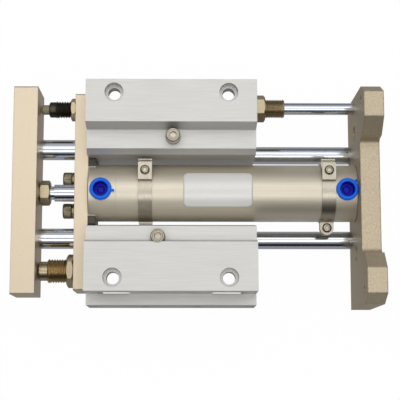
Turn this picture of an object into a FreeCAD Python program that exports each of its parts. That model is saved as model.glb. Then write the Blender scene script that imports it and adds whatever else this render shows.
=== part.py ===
import FreeCAD, Part
import math
import os
import Sketcher

# Guided pneumatic cylinder: an air cylinder between two guide bodies, with a front plate that
# the piston rod and two guide rods push out. All sizes are in millimetres.
# X runs along the stroke and the front plate is at -X. Z = 0 is the mounting plane, the underside
# of the ears round the four mounting holes, and X = Y = 0 is the centre of those holes.

os.makedirs("parts", exist_ok=True)
doc = FreeCAD.newDocument("GuidedCylinder")

# Driving sizes
SIZES = [
    # Lines and planes that everything is set out from
    ("axis_drop", 23.0, "cylinder axis below the mounting plane"),
    ("stroke", 75.0, "travel of the front plate"),
    ("beyond", 1.0, "cutting pieces past the faces that they cut"),
    # Guide bodies
    ("body_length", 97.0, "guide body along X"),
    ("body_foot", 48.0, "foot of the guide bodies below the mounting plane"),
    ("ear_thickness", 13.0, "ear under each mounting screw, and so the height of the top face"),
    ("shelf_rise", 1.0, "lower shelf above the mounting plane"),
    ("top_inner_right", 35.5, "inner edge of the right top face from the centre plane"),
    ("top_inner_left", 32.5, "inner edge of the left top face from the centre plane"),
    ("step_lean", 2.2, "lean of the wall between shelf and top face"),
    ("shelf_inner", 22.3, "inner edge of the shelf from the centre plane"),
    ("inner_wall", 19.5, "inner wall of the bodies from the centre plane"),
    ("bevel_right", 4.0, "drop of the bevel between right shelf and inner wall"),
    ("bevel_left", 18.0, "drop of the bevel between left shelf and inner wall"),
    ("foot_inner", 22.0, "inner edge of the foot from the centre plane"),
    ("foot_bevel", 4.0, "height of the bevel above the foot"),
    ("body_edge", 60.0, "outer side of the bodies from the centre plane"),
    # Side rail of the left body
    ("rail_reach", 6.6, "thickness of the side rail"),
    ("rail_top", 7.0, "top of the side rail below the mounting plane"),
    ("rail_height", 28.0, "height of the side rail"),
    ("rail_screw", 3.0, "side rail screw diameter"),
    ("rail_screw_head", 5.5, "side rail screw head diameter"),
    ("rail_screw_head_height", 3.0, "side rail screw head height"),
    ("rail_screw_sink", 3.2, "depth of the sink for that head"),
    ("rail_screw_socket", 1.6, "depth of the hexagon socket in that head"),
    ("rail_screw_length", 8.0, "side rail screw below its head"),
    ("rail_screw_inner", 15.0, "inner side rail screws from the middle of the body"),
    ("rail_screw_outer", 45.0, "outer side rail screws from the middle of the body"),
    # Mounting holes
    ("mount_pitch_x", 65.0, "mounting holes along X"),
    ("mount_pitch_y", 105.0, "mounting holes along Y"),
    ("mount_hole", 7.0, "mounting hole diameter"),
    ("mount_sink", 10.6, "counterbore diameter"),
    ("mount_sink_depth", 5.5, "counterbore depth"),
    ("pocket_length", 18.0, "pocket under each ear along X"),
    ("pocket_reach", 17.0, "pocket under each ear, from the outer side inwards"),
    # Grease plugs
    ("plug_head", 8.2, "grease plug head diameter"),
    ("plug_stem", 5.0, "grease plug stem diameter"),
    ("plug_head_height", 9.0, "grease plug head height"),
    ("plug_stem_length", 9.0, "grease plug stem below its head"),
    ("plug_rise", 9.0, "top of the plugs above the mounting plane"),
    ("plug_y", 28.9, "plugs from the centre plane"),
    ("plug_x_right", 0.9, "right plug along X"),
    ("plug_x_left", -7.5, "left plug along X"),
    ("grease_way", 2.0, "grease hole from a plug to its guide bore"),
    # Front flange
    ("flange_thickness", 8.0, "front flange along X"),
    ("flange_half_width", 57.7, "front flange from the centre plane"),
    ("flange_above", 9.5, "front flange above the cylinder axis"),
    ("flange_below", 20.0, "front flange below the cylinder axis"),
    ("plate_round", 1.0, "rounded corners of flange and front plate"),
    # Front plate
    ("retract_gap", 21.2, "front plate from the flange when retracted"),
    ("front_thickness", 14.0, "front plate along X"),
    ("front_half_width", 60.5, "front plate from the centre plane"),
    ("front_above", 16.5, "front plate above the cylinder axis"),
    ("front_below", 14.5, "front plate below the cylinder axis"),
    ("tool_pitch_y", 80.0, "tapped holes in the front plate along Y"),
    ("tool_pitch_z", 16.0, "tapped holes in the front plate along Z"),
    ("tool_hole", 5.0, "tapping size of those holes"),
    ("tool_depth", 10.0, "depth of those holes"),
    # Guide rods
    ("guide_rod", 12.0, "guide rod diameter"),
    ("guide_rod_y", 26.5, "guide rods from the centre plane"),
    ("guide_rod_drop", 4.0, "guide rods below the cylinder axis"),
    ("guide_fit", 0.05, "radial running clearance of rods in their bores"),
    ("guide_tail", 1.0, "guide rod end short of the rear of its body"),
    ("rod_spigot", 9.0, "turned end of a guide rod in the front plate"),
    ("rod_spigot_length", 8.0, "length of that end"),
    ("rod_screw", 5.0, "screw through the front plate into a guide rod"),
    ("rod_screw_head", 8.5, "head of that screw"),
    ("rod_screw_head_height", 4.7, "height of that head"),
    ("rod_screw_sink", 5.0, "depth of the sink for that head"),
    ("rod_screw_length", 14.0, "length of that screw below its head"),
    ("bush_outer", 13.6, "guide bush outer diameter"),
    ("bush_length", 14.0, "guide bush along X"),
    ("wiper_length", 1.6, "guide rod wiper along X"),
    # Cylinder
    ("tube_outer", 33.4, "cylinder tube outside"),
    ("bore", 25.0, "cylinder bore"),
    ("cover_length", 16.3, "rod cover outside the tube"),
    ("cover_spigot", 10.0, "rod cover inside the tube"),
    ("cover_ears", 4.4, "ears of the rod cover along X"),
    ("cover_ear_reach", 19.2, "ears of the rod cover from the centre plane"),
    ("cover_ear_above", 9.0, "ears of the rod cover above the cylinder axis"),
    ("cover_ear_below", 14.0, "ears of the rod cover below the cylinder axis"),
    ("tube_socket", 28.0, "tube opened out for the rod cover spigot"),
    ("head_length", 28.0, "solid rear end of the tube"),
    ("spigot_fit", 0.1, "radial clearance of the spigot in the tube"),
    ("piston_rod", 10.0, "piston rod diameter"),
    ("rod_gap", 0.5, "radial gap of the piston rod in the flange"),
    ("rod_bush_wall", 1.5, "piston rod bush wall"),
    ("rod_bush_length", 11.0, "piston rod bush along X"),
    ("rod_seal_outer", 17.0, "piston rod seal outer diameter"),
    ("rod_seal_length", 4.0, "piston rod seal along X"),
    ("piston_length", 20.0, "piston along X"),
    ("piston_fit", 0.3, "radial gap of the piston in the tube"),
    ("bumper", 2.5, "thickness of the end bumpers"),
    ("end_gap", 1.0, "piston short of a bumper at each end of the stroke"),
    ("port", 9.0, "air port diameter"),
    ("port_depth", 9.0, "air port depth below the tube top"),
    ("port_front", 7.7, "front port behind the flange"),
    ("port_rear", 6.5, "rear port in front of the rear plate"),
    ("air_way", 3.0, "air hole from a port to the bore"),
    ("air_way_rise", 10.0, "air holes above the cylinder axis"),
    ("tube_chamfer", 0.6, "chamfers at the ends of the cylinder"),
    ("gasket_start", 4.0, "gasket groove behind the tube's end"),
    ("gasket_width", 2.4, "gasket of the rod cover along X"),
    ("gasket_depth", 1.6, "depth of the gasket's groove"),
    ("groove_depth", 1.9, "depth of the piston's grooves"),
    ("seal_start", 3.0, "piston seal groove from the front of the piston"),
    ("seal_width", 3.0, "piston seal along X"),
    ("magnet_start", 8.0, "magnet groove from the front of the piston"),
    ("magnet_width", 4.0, "magnet along X"),
    ("magnet_gap", 0.5, "radial gap of the magnet in the bore"),
    ("wear_start", 14.0, "wear ring groove from the front of the piston"),
    ("wear_width", 3.2, "wear ring along X"),
    ("bumper_hole", 12.0, "hole of the end bumpers"),
    # Rod nut
    ("rod_nut_flats", 13.0, "rod nut across flats"),
    ("rod_nut_length", 6.2, "rod nut along X"),
    ("rod_washer", 0.4, "washer between rod nut and front plate"),
    ("washer_outer", 14.0, "outer diameter of that washer"),
    ("rod_thread", 8.0, "piston rod thread diameter"),
    ("rod_thread_length", 19.0, "piston rod thread, from the front"),
    ("rod_end_depth", 4.0, "end of the piston rod behind the front plate's face"),
    # Screws of the flange
    ("cover_screw_y", 9.4, "rod cover screws from the centre plane"),
    ("cover_screw_drop", 9.5, "rod cover screws below the cylinder axis"),
    ("cover_screw", 5.0, "rod cover screw diameter"),
    ("cover_screw_head", 9.0, "rod cover screw head diameter"),
    ("cover_screw_head_height", 5.4, "rod cover screw head height"),
    ("cover_screw_length", 19.0, "rod cover screw below its head"),
    ("lock_washer", 1.6, "lock washer of a rod cover screw along X"),
    ("flat_washer", 1.2, "flat washer of a rod cover screw along X"),
    ("flat_washer_outer", 9.8, "outer diameter of that flat washer"),
    ("tap_beyond", 0.5, "tapped holes beyond the ends of their screws"),
    ("body_screw_inner", 38.0, "inner flange to body screws from the centre plane"),
    ("body_screw_outer", 51.0, "outer flange to body screws from the centre plane"),
    ("body_screw_drop", 13.0, "flange to body screws below the cylinder axis"),
    ("body_screw", 5.0, "flange to body screw diameter"),
    ("body_screw_head", 8.5, "flange to body screw head diameter"),
    ("body_screw_head_height", 4.5, "flange to body screw head height"),
    ("body_screw_sink", 5.0, "depth of the sink for that head"),
    ("body_screw_length", 9.0, "flange to body screw below its head"),
    ("screw_fit", 0.15, "radial clearance of screws in their holes"),
    ("socket_depth", 2.5, "depth of the hexagon sockets"),
    # Switch bands
    ("band_width", 8.0, "switch band along X"),
    ("band_sheet", 0.8, "switch band thickness"),
    ("band_front_x", 33.2, "front band behind the front of the bodies"),
    ("band_rear_x", 17.0, "rear band in front of the rear plate"),
    ("band_ear_gap", 3.0, "gap between the ears of a band"),
    ("band_ear_front", 1.6, "ears of the front band outside the tube"),
    ("band_ear_rear", 8.0, "ears of the rear band outside the tube"),
    ("band_tab_lift", 0.8, "switch tab above the top of the tube"),
    ("band_riser", 1.8, "upright fold that carries the switch tab, below the tab"),
    ("band_tab_inner", 5.5, "inner edge of the switch tab"),
    ("band_tab_outer", 15.4, "outer edge of the switch tab"),
    ("band_tab_screw", 10.9, "screw of the switch tab from the centre plane"),
    ("band_foot_inner", 12.0, "inner edge of the foot beside the switch tab"),
    ("band_foot_outer", 18.2, "outer edge of that foot"),
    ("band_foot_drop", 5.7, "that foot below the top of the tube"),
    ("band_foot_lip", 3.0, "upturned lip of that foot"),
    ("band_screw", 3.0, "band screw diameter"),
    ("band_screw_head", 5.5, "band screw head diameter"),
    ("band_screw_rise", 1.8, "band screw head height"),
    ("band_socket", 2.2, "hexagon socket of the band screws across flats"),
    ("band_nut_flats", 5.5, "band screw nut across flats"),
    ("tab_nut_height", 1.4, "thickness of the nuts under the switch tabs"),
    ("ear_nut_height", 2.4, "thickness of the nut under the ears"),
    # Label and port caps
    ("label_length", 40.0, "label along X"),
    ("label_from", 6.8, "front edge of the label"),
    ("label_sweep", 70.0, "label round the tube, in degrees"),
    ("label_sheet", 0.15, "label thickness"),
    ("cap_flange", 12.8, "port cap rim diameter"),
    ("cap_rim", 2.2, "port cap rim height"),
    ("cap_skirt", 0.6, "port cap rim below the top of the tube"),
    ("cap_short", 1.0, "port cap plug short of the floor of its port"),
    ("cap_tab", 1.6, "thickness of the pull tab of a port cap"),
    ("cap_tab_reach", 8.0, "end of the pull tab from the middle of its cap"),
    ("cap_bore", 8.2, "port cap recess diameter"),
    ("cap_depth", 5.5, "port cap recess depth"),
    # Dampers
    ("small_damper", 10.0, "small damper thread diameter"),
    ("small_damper_y", 50.0, "small damper from the centre plane"),
    ("small_damper_front", 12.2, "thread of the small damper in front of the flange"),
    ("small_collar", 9.2, "collar of the small damper"),
    ("small_collar_length", 3.8, "collar of the small damper along X"),
    ("small_pin", 5.8, "plunger of the small damper"),
    ("small_nut_flats", 12.0, "small lock nut across flats"),
    ("small_nut_length", 3.3, "small lock nut along X"),
    ("large_damper", 14.0, "large damper thread diameter"),
    ("large_damper_y", 46.0, "large damper from the centre plane"),
    ("large_damper_front", 15.3, "thread of the large damper in front of the flange"),
    ("large_pin", 11.2, "plunger of the large damper"),
    ("large_nut_flats", 17.0, "large lock nut across flats"),
    ("large_nut_length", 4.4, "large lock nut along X"),
    ("damper_travel", 4.5, "travel of the plungers"),
    ("pin_inside", 12.0, "plungers inside their dampers at rest"),
    ("pin_fit", 0.05, "radial running clearance of the plungers"),
    ("pin_gap", 0.4, "plungers in front of the retracted plate"),
    ("pin_beyond", 1.0, "wells of the dampers beyond the pressed plungers"),
    ("pin_chamfer", 0.8, "chamfer of plungers and guide rods"),
    ("thread_chamfer", 0.6, "chamfer of the damper sleeves"),
    # Rear plate and its rods
    ("rear_thickness", 11.2, "rear plate along X"),
    ("rear_half_width", 62.0, "half the width of the rear plate"),
    ("rear_shift", 5.0, "middle of the rear plate's outline, left of the centre plane"),
    ("rear_below", 24.0, "rear plate below the cylinder axis"),
    ("rear_bar_above", 25.0, "middle bar of the rear plate above the cylinder axis"),
    ("horn_top", 44.0, "horns of the rear plate above the cylinder axis"),
    ("horn_inner_foot", 33.3, "foot of a horn's inner flank, from the middle of the outline"),
    ("horn_lean", 1.0, "lean of the short wall below that foot"),
    ("horn_flank_foot", 34.0, "height of that foot above the cylinder axis"),
    ("horn_inner_top", 42.5, "inner edge of a horn's top, from the middle of the outline"),
    ("horn_outer_top", 56.5, "outer edge of a horn's top, from the middle of the outline"),
    ("horn_shoulder", 32.0, "shoulder outside a horn above the cylinder axis"),
    ("horn_round", 3.0, "fillet between bar and horn"),
    ("stay_rod", 10.5, "stay rod diameter"),
    ("stay_rod_y", 25.8, "stay rods from the centre plane"),
    ("stay_rod_drop", 17.0, "stay rods below the cylinder axis"),
    ("stay_socket", 12.0, "stay rod depth in its guide body"),
    ("stay_seat", 3.0, "stay rod depth in the rear plate"),
    ("stay_screw", 6.0, "screw through the rear plate into a stay rod"),
    ("stay_screw_head", 9.6, "head of that screw"),
    ("stay_screw_head_height", 4.0, "height of that head, which is a low one"),
    ("stay_screw_sink", 4.4, "depth of the sink for that head"),
    ("stay_screw_length", 14.0, "length of that screw below its head"),
    ("slim_rod", 7.0, "slim rod diameter"),
    ("slim_rod_y", 51.0, "slim rod from the centre plane"),
    ("gland_flats", 14.2, "gland across flats"),
    ("gland_hex_length", 6.7, "hexagon of the gland along X"),
    ("gland_thread", 11.0, "gland thread diameter"),
    ("gland_thread_length", 11.3, "gland thread behind its hexagon"),
    ("gland_shank", 5.0, "gland in the guide body"),
    ("rear_tap", 5.0, "tapped holes of the rear plate"),
    ("rear_tap_y", 54.0, "tapped holes in the horns, from the middle of the outline"),
    ("rear_tap_rise", 32.0, "tapped holes in the horns above the cylinder axis"),
    ("rear_hole", 9.0, "larger holes of the rear plate"),
    ("rear_hole_y", 35.5, "larger holes from the centre plane"),
    ("rear_hole_rise", 2.0, "larger holes above the cylinder axis"),
    ("head_screw", 5.0, "screws through the rear plate into the tube's head"),
    ("head_screw_head", 8.5, "heads of those screws"),
    ("head_screw_head_height", 5.0, "height of those heads"),
    ("head_screw_sink", 5.4, "depth of the sinks for those heads"),
    ("head_screw_length", 16.0, "length of those screws below their heads"),
    ("head_screw_spread", 9.4, "those screws from the cylinder axis along Y and Z"),
]

sheet = doc.addObject("Spreadsheet::Sheet", "Sizes")
for row, (alias, number, meaning) in enumerate(SIZES, 1):
    sheet.set("A%d" % row, alias)
    sheet.set("B%d" % row, str(number))
    sheet.set("C%d" % row, meaning)
    sheet.setAlias("B%d" % row, alias)
doc.recompute()

# Turns for a piece along X, for a hexagon with a flat on top, for one that stands, and one along Y
ALONG_X = FreeCAD.Rotation(FreeCAD.Vector(0, 1, 0), 90)
FLAT_UP = FreeCAD.Rotation(FreeCAD.Vector(1, 0, 0), 30).multiply(ALONG_X)
UPRIGHT = FreeCAD.Rotation()
ALONG_Y = FreeCAD.Rotation(FreeCAD.Vector(1, 0, 0), -90)

# Planes and lines, as rules that read the sheet
FRONT = "(-Sizes.body_length / 2)"
BEFORE_FRONT = "(%s - Sizes.beyond)" % FRONT
REAR = "(Sizes.body_length / 2)"
AXIS = "(-Sizes.axis_drop)"
FLANGE_FRONT = "(%s - Sizes.flange_thickness)" % FRONT
PLATE_BACK = "(%s - Sizes.retract_gap)" % FLANGE_FRONT
PLATE_FRONT = "(%s - Sizes.front_thickness)" % PLATE_BACK
COVER_END = "(%s + Sizes.cover_length)" % FRONT
SPIGOT_END = "(%s + Sizes.cover_spigot)" % COVER_END
PISTON_X = "(%s + Sizes.bumper + Sizes.end_gap + Sizes.stroke)" % SPIGOT_END
HEAD_FACE = "(%s + Sizes.piston_length + Sizes.end_gap + Sizes.bumper)" % PISTON_X
CYLINDER_END = "(%s + Sizes.head_length)" % HEAD_FACE
GUIDE_ROD_Z = "(%s - Sizes.guide_rod_drop)" % AXIS
STAY_ROD_Z = "(%s - Sizes.stay_rod_drop)" % AXIS
BODY_SCREWS = ("Sizes.body_screw_inner", "Sizes.body_screw_outer")
BODY_SCREW_Z = "(%s - Sizes.body_screw_drop)" % AXIS


def place(piece, x="0", y="0", z="0", turn=UPRIGHT):
    """Put a piece at a point whose coordinates are rules."""
    piece.Placement = FreeCAD.Placement(FreeCAD.Vector(), turn)
    for letter, rule in (("x", x), ("y", y), ("z", z)):
        piece.setExpression("Placement.Base." + letter, rule)
    return piece


def disc(name, diameter, length, x="0", y="0", z=AXIS, turn=ALONG_X):
    """A round bar of a given diameter, along X unless it is turned."""
    piece = doc.addObject("Part::Cylinder", name)
    piece.setExpression("Radius", "(%s) / 2" % diameter)
    piece.setExpression("Height", length)
    return place(piece, x, y, z, turn)


def hexagon(name, flats, length, x="0", y="0", z=AXIS, turn=FLAT_UP):
    """A hexagonal bar of a given size across flats."""
    piece = doc.addObject("Part::Prism", name)
    piece.Polygon = 6
    piece.setExpression("Circumradius", "(%s) / sqrt(3)" % flats)
    piece.setExpression("Height", length)
    return place(piece, x, y, z, turn)


def block(name, long_x, long_y, long_z, x, y, z):
    """A box from its lowest corner."""
    piece = doc.addObject("Part::Box", name)
    piece.setExpression("Length", long_x)
    piece.setExpression("Width", long_y)
    piece.setExpression("Height", long_z)
    return place(piece, x, y, z)


def join(name, pieces):
    """Pieces fused into one."""
    whole = doc.addObject("Part::MultiFuse", name)
    whole.Shapes = pieces
    whole.Refine = True
    return whole


def cut(name, base, tools):
    """A piece with others taken out of it."""
    result = doc.addObject("Part::Cut", name)
    result.Base = base
    result.Tool = tools[0] if len(tools) == 1 else join(name + "_tools", tools)
    result.Refine = True
    return result


def group(name, pieces):
    """Identical separate solids kept as one node."""
    whole = doc.addObject("Part::Compound", name)
    whole.Links = pieces
    return whole


def origin_plane(body, role):
    """A plane of a body's own origin."""
    return [feature for feature in body.Origin.OriginFeatures if feature.Role == role][0]


# Where the points and circles of a sketch start, before the sheet's rules move them
START_RING = 30
START_CENTRE = 5
START_RADIUS = 2


def sketch(body, role, name, outlines=(), circles=(), offset=None):
    """A sketch of closed outlines and circles, with every point tied to the sheet."""
    drawing = body.newObject("Sketcher::SketchObject", name)
    drawing.AttachmentSupport = [(origin_plane(body, role), "")]
    drawing.MapMode = "FlatFace"
    if offset:
        drawing.setExpression("AttachmentOffset.Base.z", offset)

    def pin_point(item, end, u, v, at):
        for kind, rule, now in (("DistanceX", u, at.x), ("DistanceY", v, at.y)):
            number = drawing.addConstraint(Sketcher.Constraint(kind, -1, 1, item, end, now))
            drawing.setExpression("Constraints[%d]" % number, rule)

    for points in outlines:
        count = len(points)
        turns = [2 * math.pi * index / count for index in range(count)]
        start = [FreeCAD.Vector(math.cos(turn), math.sin(turn), 0) * START_RING for turn in turns]
        first = drawing.GeometryCount
        for index in range(count):
            drawing.addGeometry(Part.LineSegment(start[index], start[(index + 1) % count]), False)
        for index in range(count):
            after = first + (index + 1) % count
            drawing.addConstraint(Sketcher.Constraint("Coincident", first + index, 2, after, 1))
        for index, (u, v) in enumerate(points):
            pin_point(first + index, 1, u, v, start[index])
    for u, v, diameter in circles:
        middle = FreeCAD.Vector(START_CENTRE, START_CENTRE, 0)
        circle = Part.Circle(middle, FreeCAD.Vector(0, 0, 1), START_RADIUS)
        item = drawing.addGeometry(circle, False)
        pin_point(item, 3, u, v, middle)
        number = drawing.addConstraint(Sketcher.Constraint("Radius", item, 2))
        drawing.setExpression("Constraints[%d]" % number, "(%s) / 2" % diameter)
    return drawing


def pad(body, drawing, length, name="Pad"):
    """A sketch made solid along its normal."""
    feature = body.newObject("PartDesign::Pad", name)
    feature.Profile = drawing
    feature.setExpression("Length", length)
    drawing.Visibility = False
    return feature


def pocket(body, drawing, length, name="Pocket", onward=False):
    """A sketch cut into a body, against the sketch's normal unless it goes onward."""
    feature = body.newObject("PartDesign::Pocket", name)
    feature.Profile = drawing
    feature.Reversed = onward
    feature.setExpression("Length", length)
    drawing.Visibility = False
    return feature


def turned(name, outline, x="0", y="0", z=AXIS):
    """A piece turned about an axis along X, from its outline as (along X, radius)."""
    body = doc.addObject("PartDesign::Body", name)
    drawing = sketch(body, "XZ_Plane", name + "_outline", [outline])
    feature = body.newObject("PartDesign::Revolution", name + "_turned")
    feature.Profile = drawing
    feature.ReferenceAxis = (drawing, ["H_Axis"])
    feature.Angle = 360.0
    drawing.Visibility = False
    return place(body, x, y, z)


def rounded(body, base, size, keep, name="Rounds"):
    """Fillets on the edges of a feature that a test picks out."""
    doc.recompute()
    picked = ["Edge%d" % (i + 1) for i, edge in enumerate(base.Shape.Edges) if keep(edge)]
    feature = body.newObject("PartDesign::Fillet", name)
    feature.Base = (base, picked)
    feature.setExpression("Radius", size)
    return feature


# How near an edge must be to a place or a direction to count as lying there
NEAR = 0.01


def lies_at(edge, axis, distance):
    """True for a straight edge parallel to X at a distance from the plane Y = 0 or Z = 0."""
    if not isinstance(edge.Curve, Part.Line) or abs(edge.Curve.Direction.x) < 1 - NEAR:
        return False
    return abs(abs(getattr(edge.CenterOfMass, axis)) - abs(distance)) < NEAR


def size(alias):
    """A number from the sheet."""
    return float(sheet.get(alias))


# Guide bodies: a stepped bar each, with ears under the four mounting screws
def guide_body(name, side, top_inner, bevel, plug_x):
    """One guide body; side is 1 for the right one at +Y and -1 for the left one."""

    def across(rule):
        return "%d * (%s)" % (side, rule)

    foot = "-Sizes.body_foot"
    outline = [
        (across("Sizes.foot_inner"), foot),
        (across("Sizes.inner_wall"), "%s + Sizes.foot_bevel" % foot),
        (across("Sizes.inner_wall"), "Sizes.shelf_rise - %s" % bevel),
        (across("Sizes.shelf_inner"), "Sizes.shelf_rise"),
        (across("%s - Sizes.step_lean" % top_inner), "Sizes.shelf_rise"),
        (across(top_inner), "Sizes.ear_thickness"),
        (across("Sizes.body_edge"), "Sizes.ear_thickness"),
        (across("Sizes.body_edge"), foot),
    ]
    bar = doc.addObject("PartDesign::Body", name + "_bar")
    section = sketch(bar, "YZ_Plane", name + "_section", [outline])
    pad(bar, section, "Sizes.body_length")
    place(bar, FRONT)

    tools = []
    long_x = "Sizes.body_length + 2 * Sizes.beyond"
    bore = "Sizes.guide_rod + 2 * Sizes.guide_fit"
    tools.append(disc(name + "_bore", bore, long_x, BEFORE_FRONT,
                      across("Sizes.guide_rod_y"), GUIDE_ROD_Z))
    tools.append(disc(name + "_bush_seat", "Sizes.bush_outer",
                      "Sizes.bush_length - Sizes.flange_thickness + Sizes.beyond", BEFORE_FRONT,
                      across("Sizes.guide_rod_y"), GUIDE_ROD_Z))
    tools.append(disc(name + "_stay_socket", "Sizes.stay_rod", "Sizes.stay_socket + Sizes.beyond",
                      REAR + " - Sizes.stay_socket", across("Sizes.stay_rod_y"), STAY_ROD_Z))
    for end in (-1, 1):
        tag = "front" if end < 0 else "rear"
        middle = "%d * Sizes.mount_pitch_x / 2" % end
        hole_y = across("Sizes.mount_pitch_y / 2")
        tools.append(disc("%s_hole_%s" % (name, tag), "Sizes.mount_hole",
                          "Sizes.ear_thickness + 2 * Sizes.beyond", middle, hole_y, "-Sizes.beyond",
                          UPRIGHT))
        tools.append(disc("%s_sink_%s" % (name, tag), "Sizes.mount_sink",
                          "Sizes.mount_sink_depth + Sizes.beyond", middle, hole_y,
                          "Sizes.ear_thickness - Sizes.mount_sink_depth", UPRIGHT))
        low_y = "-Sizes.body_edge - Sizes.beyond"
        if side > 0:
            low_y = "Sizes.body_edge - Sizes.pocket_reach"
        tools.append(block("%s_pocket_%s" % (name, tag), "Sizes.pocket_length",
                           "Sizes.pocket_reach + Sizes.beyond", "Sizes.body_foot + Sizes.beyond",
                           "%s - Sizes.pocket_length / 2" % middle, low_y,
                           "-Sizes.body_foot - Sizes.beyond"))
    tap_end = "(%s + Sizes.body_screw_sink + Sizes.body_screw_length + Sizes.tap_beyond)" % FLANGE_FRONT
    for y in BODY_SCREWS:
        tools.append(disc("%s_tap_%s" % (name, y.split("_")[-1]), "Sizes.body_screw",
                          "%s - %s" % (tap_end, BEFORE_FRONT), BEFORE_FRONT, across(y),
                          BODY_SCREW_Z))
    tools.append(disc(name + "_plug_seat", "Sizes.plug_head + 2 * Sizes.screw_fit",
                      "Sizes.plug_head_height + Sizes.ear_thickness", plug_x, across("Sizes.plug_y"),
                      "Sizes.plug_rise - Sizes.plug_head_height", UPRIGHT))
    tools.append(disc(name + "_plug_tap", "Sizes.plug_stem",
                      "Sizes.plug_stem_length + Sizes.beyond", plug_x, across("Sizes.plug_y"),
                      "Sizes.plug_rise - Sizes.plug_head_height - Sizes.plug_stem_length", UPRIGHT))
    tools.append(disc(name + "_grease_way", "Sizes.grease_way", "-(%s)" % GUIDE_ROD_Z, plug_x,
                      across("Sizes.plug_y"), GUIDE_ROD_Z, UPRIGHT))
    if side > 0:
        tools.append(disc(name + "_gland_tap", "Sizes.gland_thread", "Sizes.gland_shank + Sizes.beyond",
                          REAR + " - Sizes.gland_shank", across("Sizes.slim_rod_y")))
    else:
        depth = "Sizes.rail_screw_sink + Sizes.rail_screw_length - Sizes.rail_reach + Sizes.tap_beyond"
        for tag, x in RAIL_SCREWS:
            tools.append(disc("%s_rail_tap_%s" % (name, tag), "Sizes.rail_screw",
                              depth + " + Sizes.beyond", x, "-Sizes.body_edge - Sizes.beyond",
                              RAIL_MIDDLE, ALONG_Y))
    return cut(name, bar, tools)


RAIL_MIDDLE = "(-Sizes.rail_top - Sizes.rail_height / 2)"
RAIL_OUTER = "(-Sizes.body_edge - Sizes.rail_reach)"
RAIL_SCREWS = [("%s_%s" % (kind, tag), "%d * Sizes.rail_screw_%s" % (end, kind))
               for kind in ("inner", "outer") for end, tag in ((-1, "front"), (1, "rear"))]


guide_body("guide_body_right", 1, "Sizes.top_inner_right", "Sizes.bevel_right", "Sizes.plug_x_right")
guide_body("guide_body_left", -1, "Sizes.top_inner_left", "Sizes.bevel_left", "Sizes.plug_x_left")


# Side rail: the bar along the outer side of the left body, held by four sunk screws
def side_rail():
    bar = block("side_rail_bar", "Sizes.body_length", "Sizes.rail_reach", "Sizes.rail_height", FRONT,
                RAIL_OUTER, "-Sizes.rail_top - Sizes.rail_height")
    fit = " + 2 * Sizes.screw_fit"
    ahead = RAIL_OUTER + " - Sizes.beyond"
    holes = []
    for tag, x in RAIL_SCREWS:
        holes.append(disc("side_rail_hole_" + tag, "Sizes.rail_screw" + fit,
                          "Sizes.rail_reach + 2 * Sizes.beyond", x, ahead, RAIL_MIDDLE, ALONG_Y))
        holes.append(disc("side_rail_sink_" + tag, "Sizes.rail_screw_head" + fit,
                          "Sizes.rail_screw_sink + Sizes.beyond", x, ahead, RAIL_MIDDLE, ALONG_Y))
    return cut("side_rail", bar, holes)


def rail_screw(tag, x):
    """One socket screw of the side rail, whose head faces outwards."""
    seat = "(%s + Sizes.rail_screw_sink)" % RAIL_OUTER
    top = "(%s - Sizes.rail_screw_head_height)" % seat
    solid = join("rail_screw_solid_" + tag, [
        disc("rail_screw_head_" + tag, "Sizes.rail_screw_head", "Sizes.rail_screw_head_height", x, top,
             RAIL_MIDDLE, ALONG_Y),
        disc("rail_screw_stem_" + tag, "Sizes.rail_screw", "Sizes.rail_screw_length", x, seat,
             RAIL_MIDDLE, ALONG_Y)])
    socket = hexagon("rail_screw_socket_" + tag, "Sizes.rail_screw_head / 2",
                     "Sizes.rail_screw_socket + Sizes.beyond", x, top + " - Sizes.beyond", RAIL_MIDDLE,
                     ALONG_Y)
    return cut("rail_screw_" + tag, solid, [socket])


side_rail()
group("rail_screws", [rail_screw(tag, x) for tag, x in RAIL_SCREWS])


# Grease plugs: socket screws that close the grease holes of the guide bores
def grease_plug(name, x, y):
    """One plug, upright, with a hexagon socket."""
    top = "Sizes.plug_rise"
    head = disc(name + "_head", "Sizes.plug_head", "Sizes.plug_head_height", x, y,
                "%s - Sizes.plug_head_height" % top, UPRIGHT)
    stem = disc(name + "_stem", "Sizes.plug_stem", "Sizes.plug_stem_length", x, y,
                "%s - Sizes.plug_head_height - Sizes.plug_stem_length" % top, UPRIGHT)
    socket = hexagon(name + "_socket", "Sizes.plug_head / 2", "Sizes.socket_depth + Sizes.beyond", x, y,
                     "%s - Sizes.socket_depth" % top, UPRIGHT)
    return cut(name, join(name + "_solid", [head, stem]), [socket])


group("grease_plugs", [
    grease_plug("plug_right", "Sizes.plug_x_right", "Sizes.plug_y"),
    grease_plug("plug_left", "Sizes.plug_x_left", "-Sizes.plug_y")])


# Front flange: the plate that ties both bodies and the cylinder together
def both_sides(y, z, diameter):
    """The same circle on both sides of the centre plane."""
    return [("%s" % y, z, diameter), ("-(%s)" % y, z, diameter)]


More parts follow.
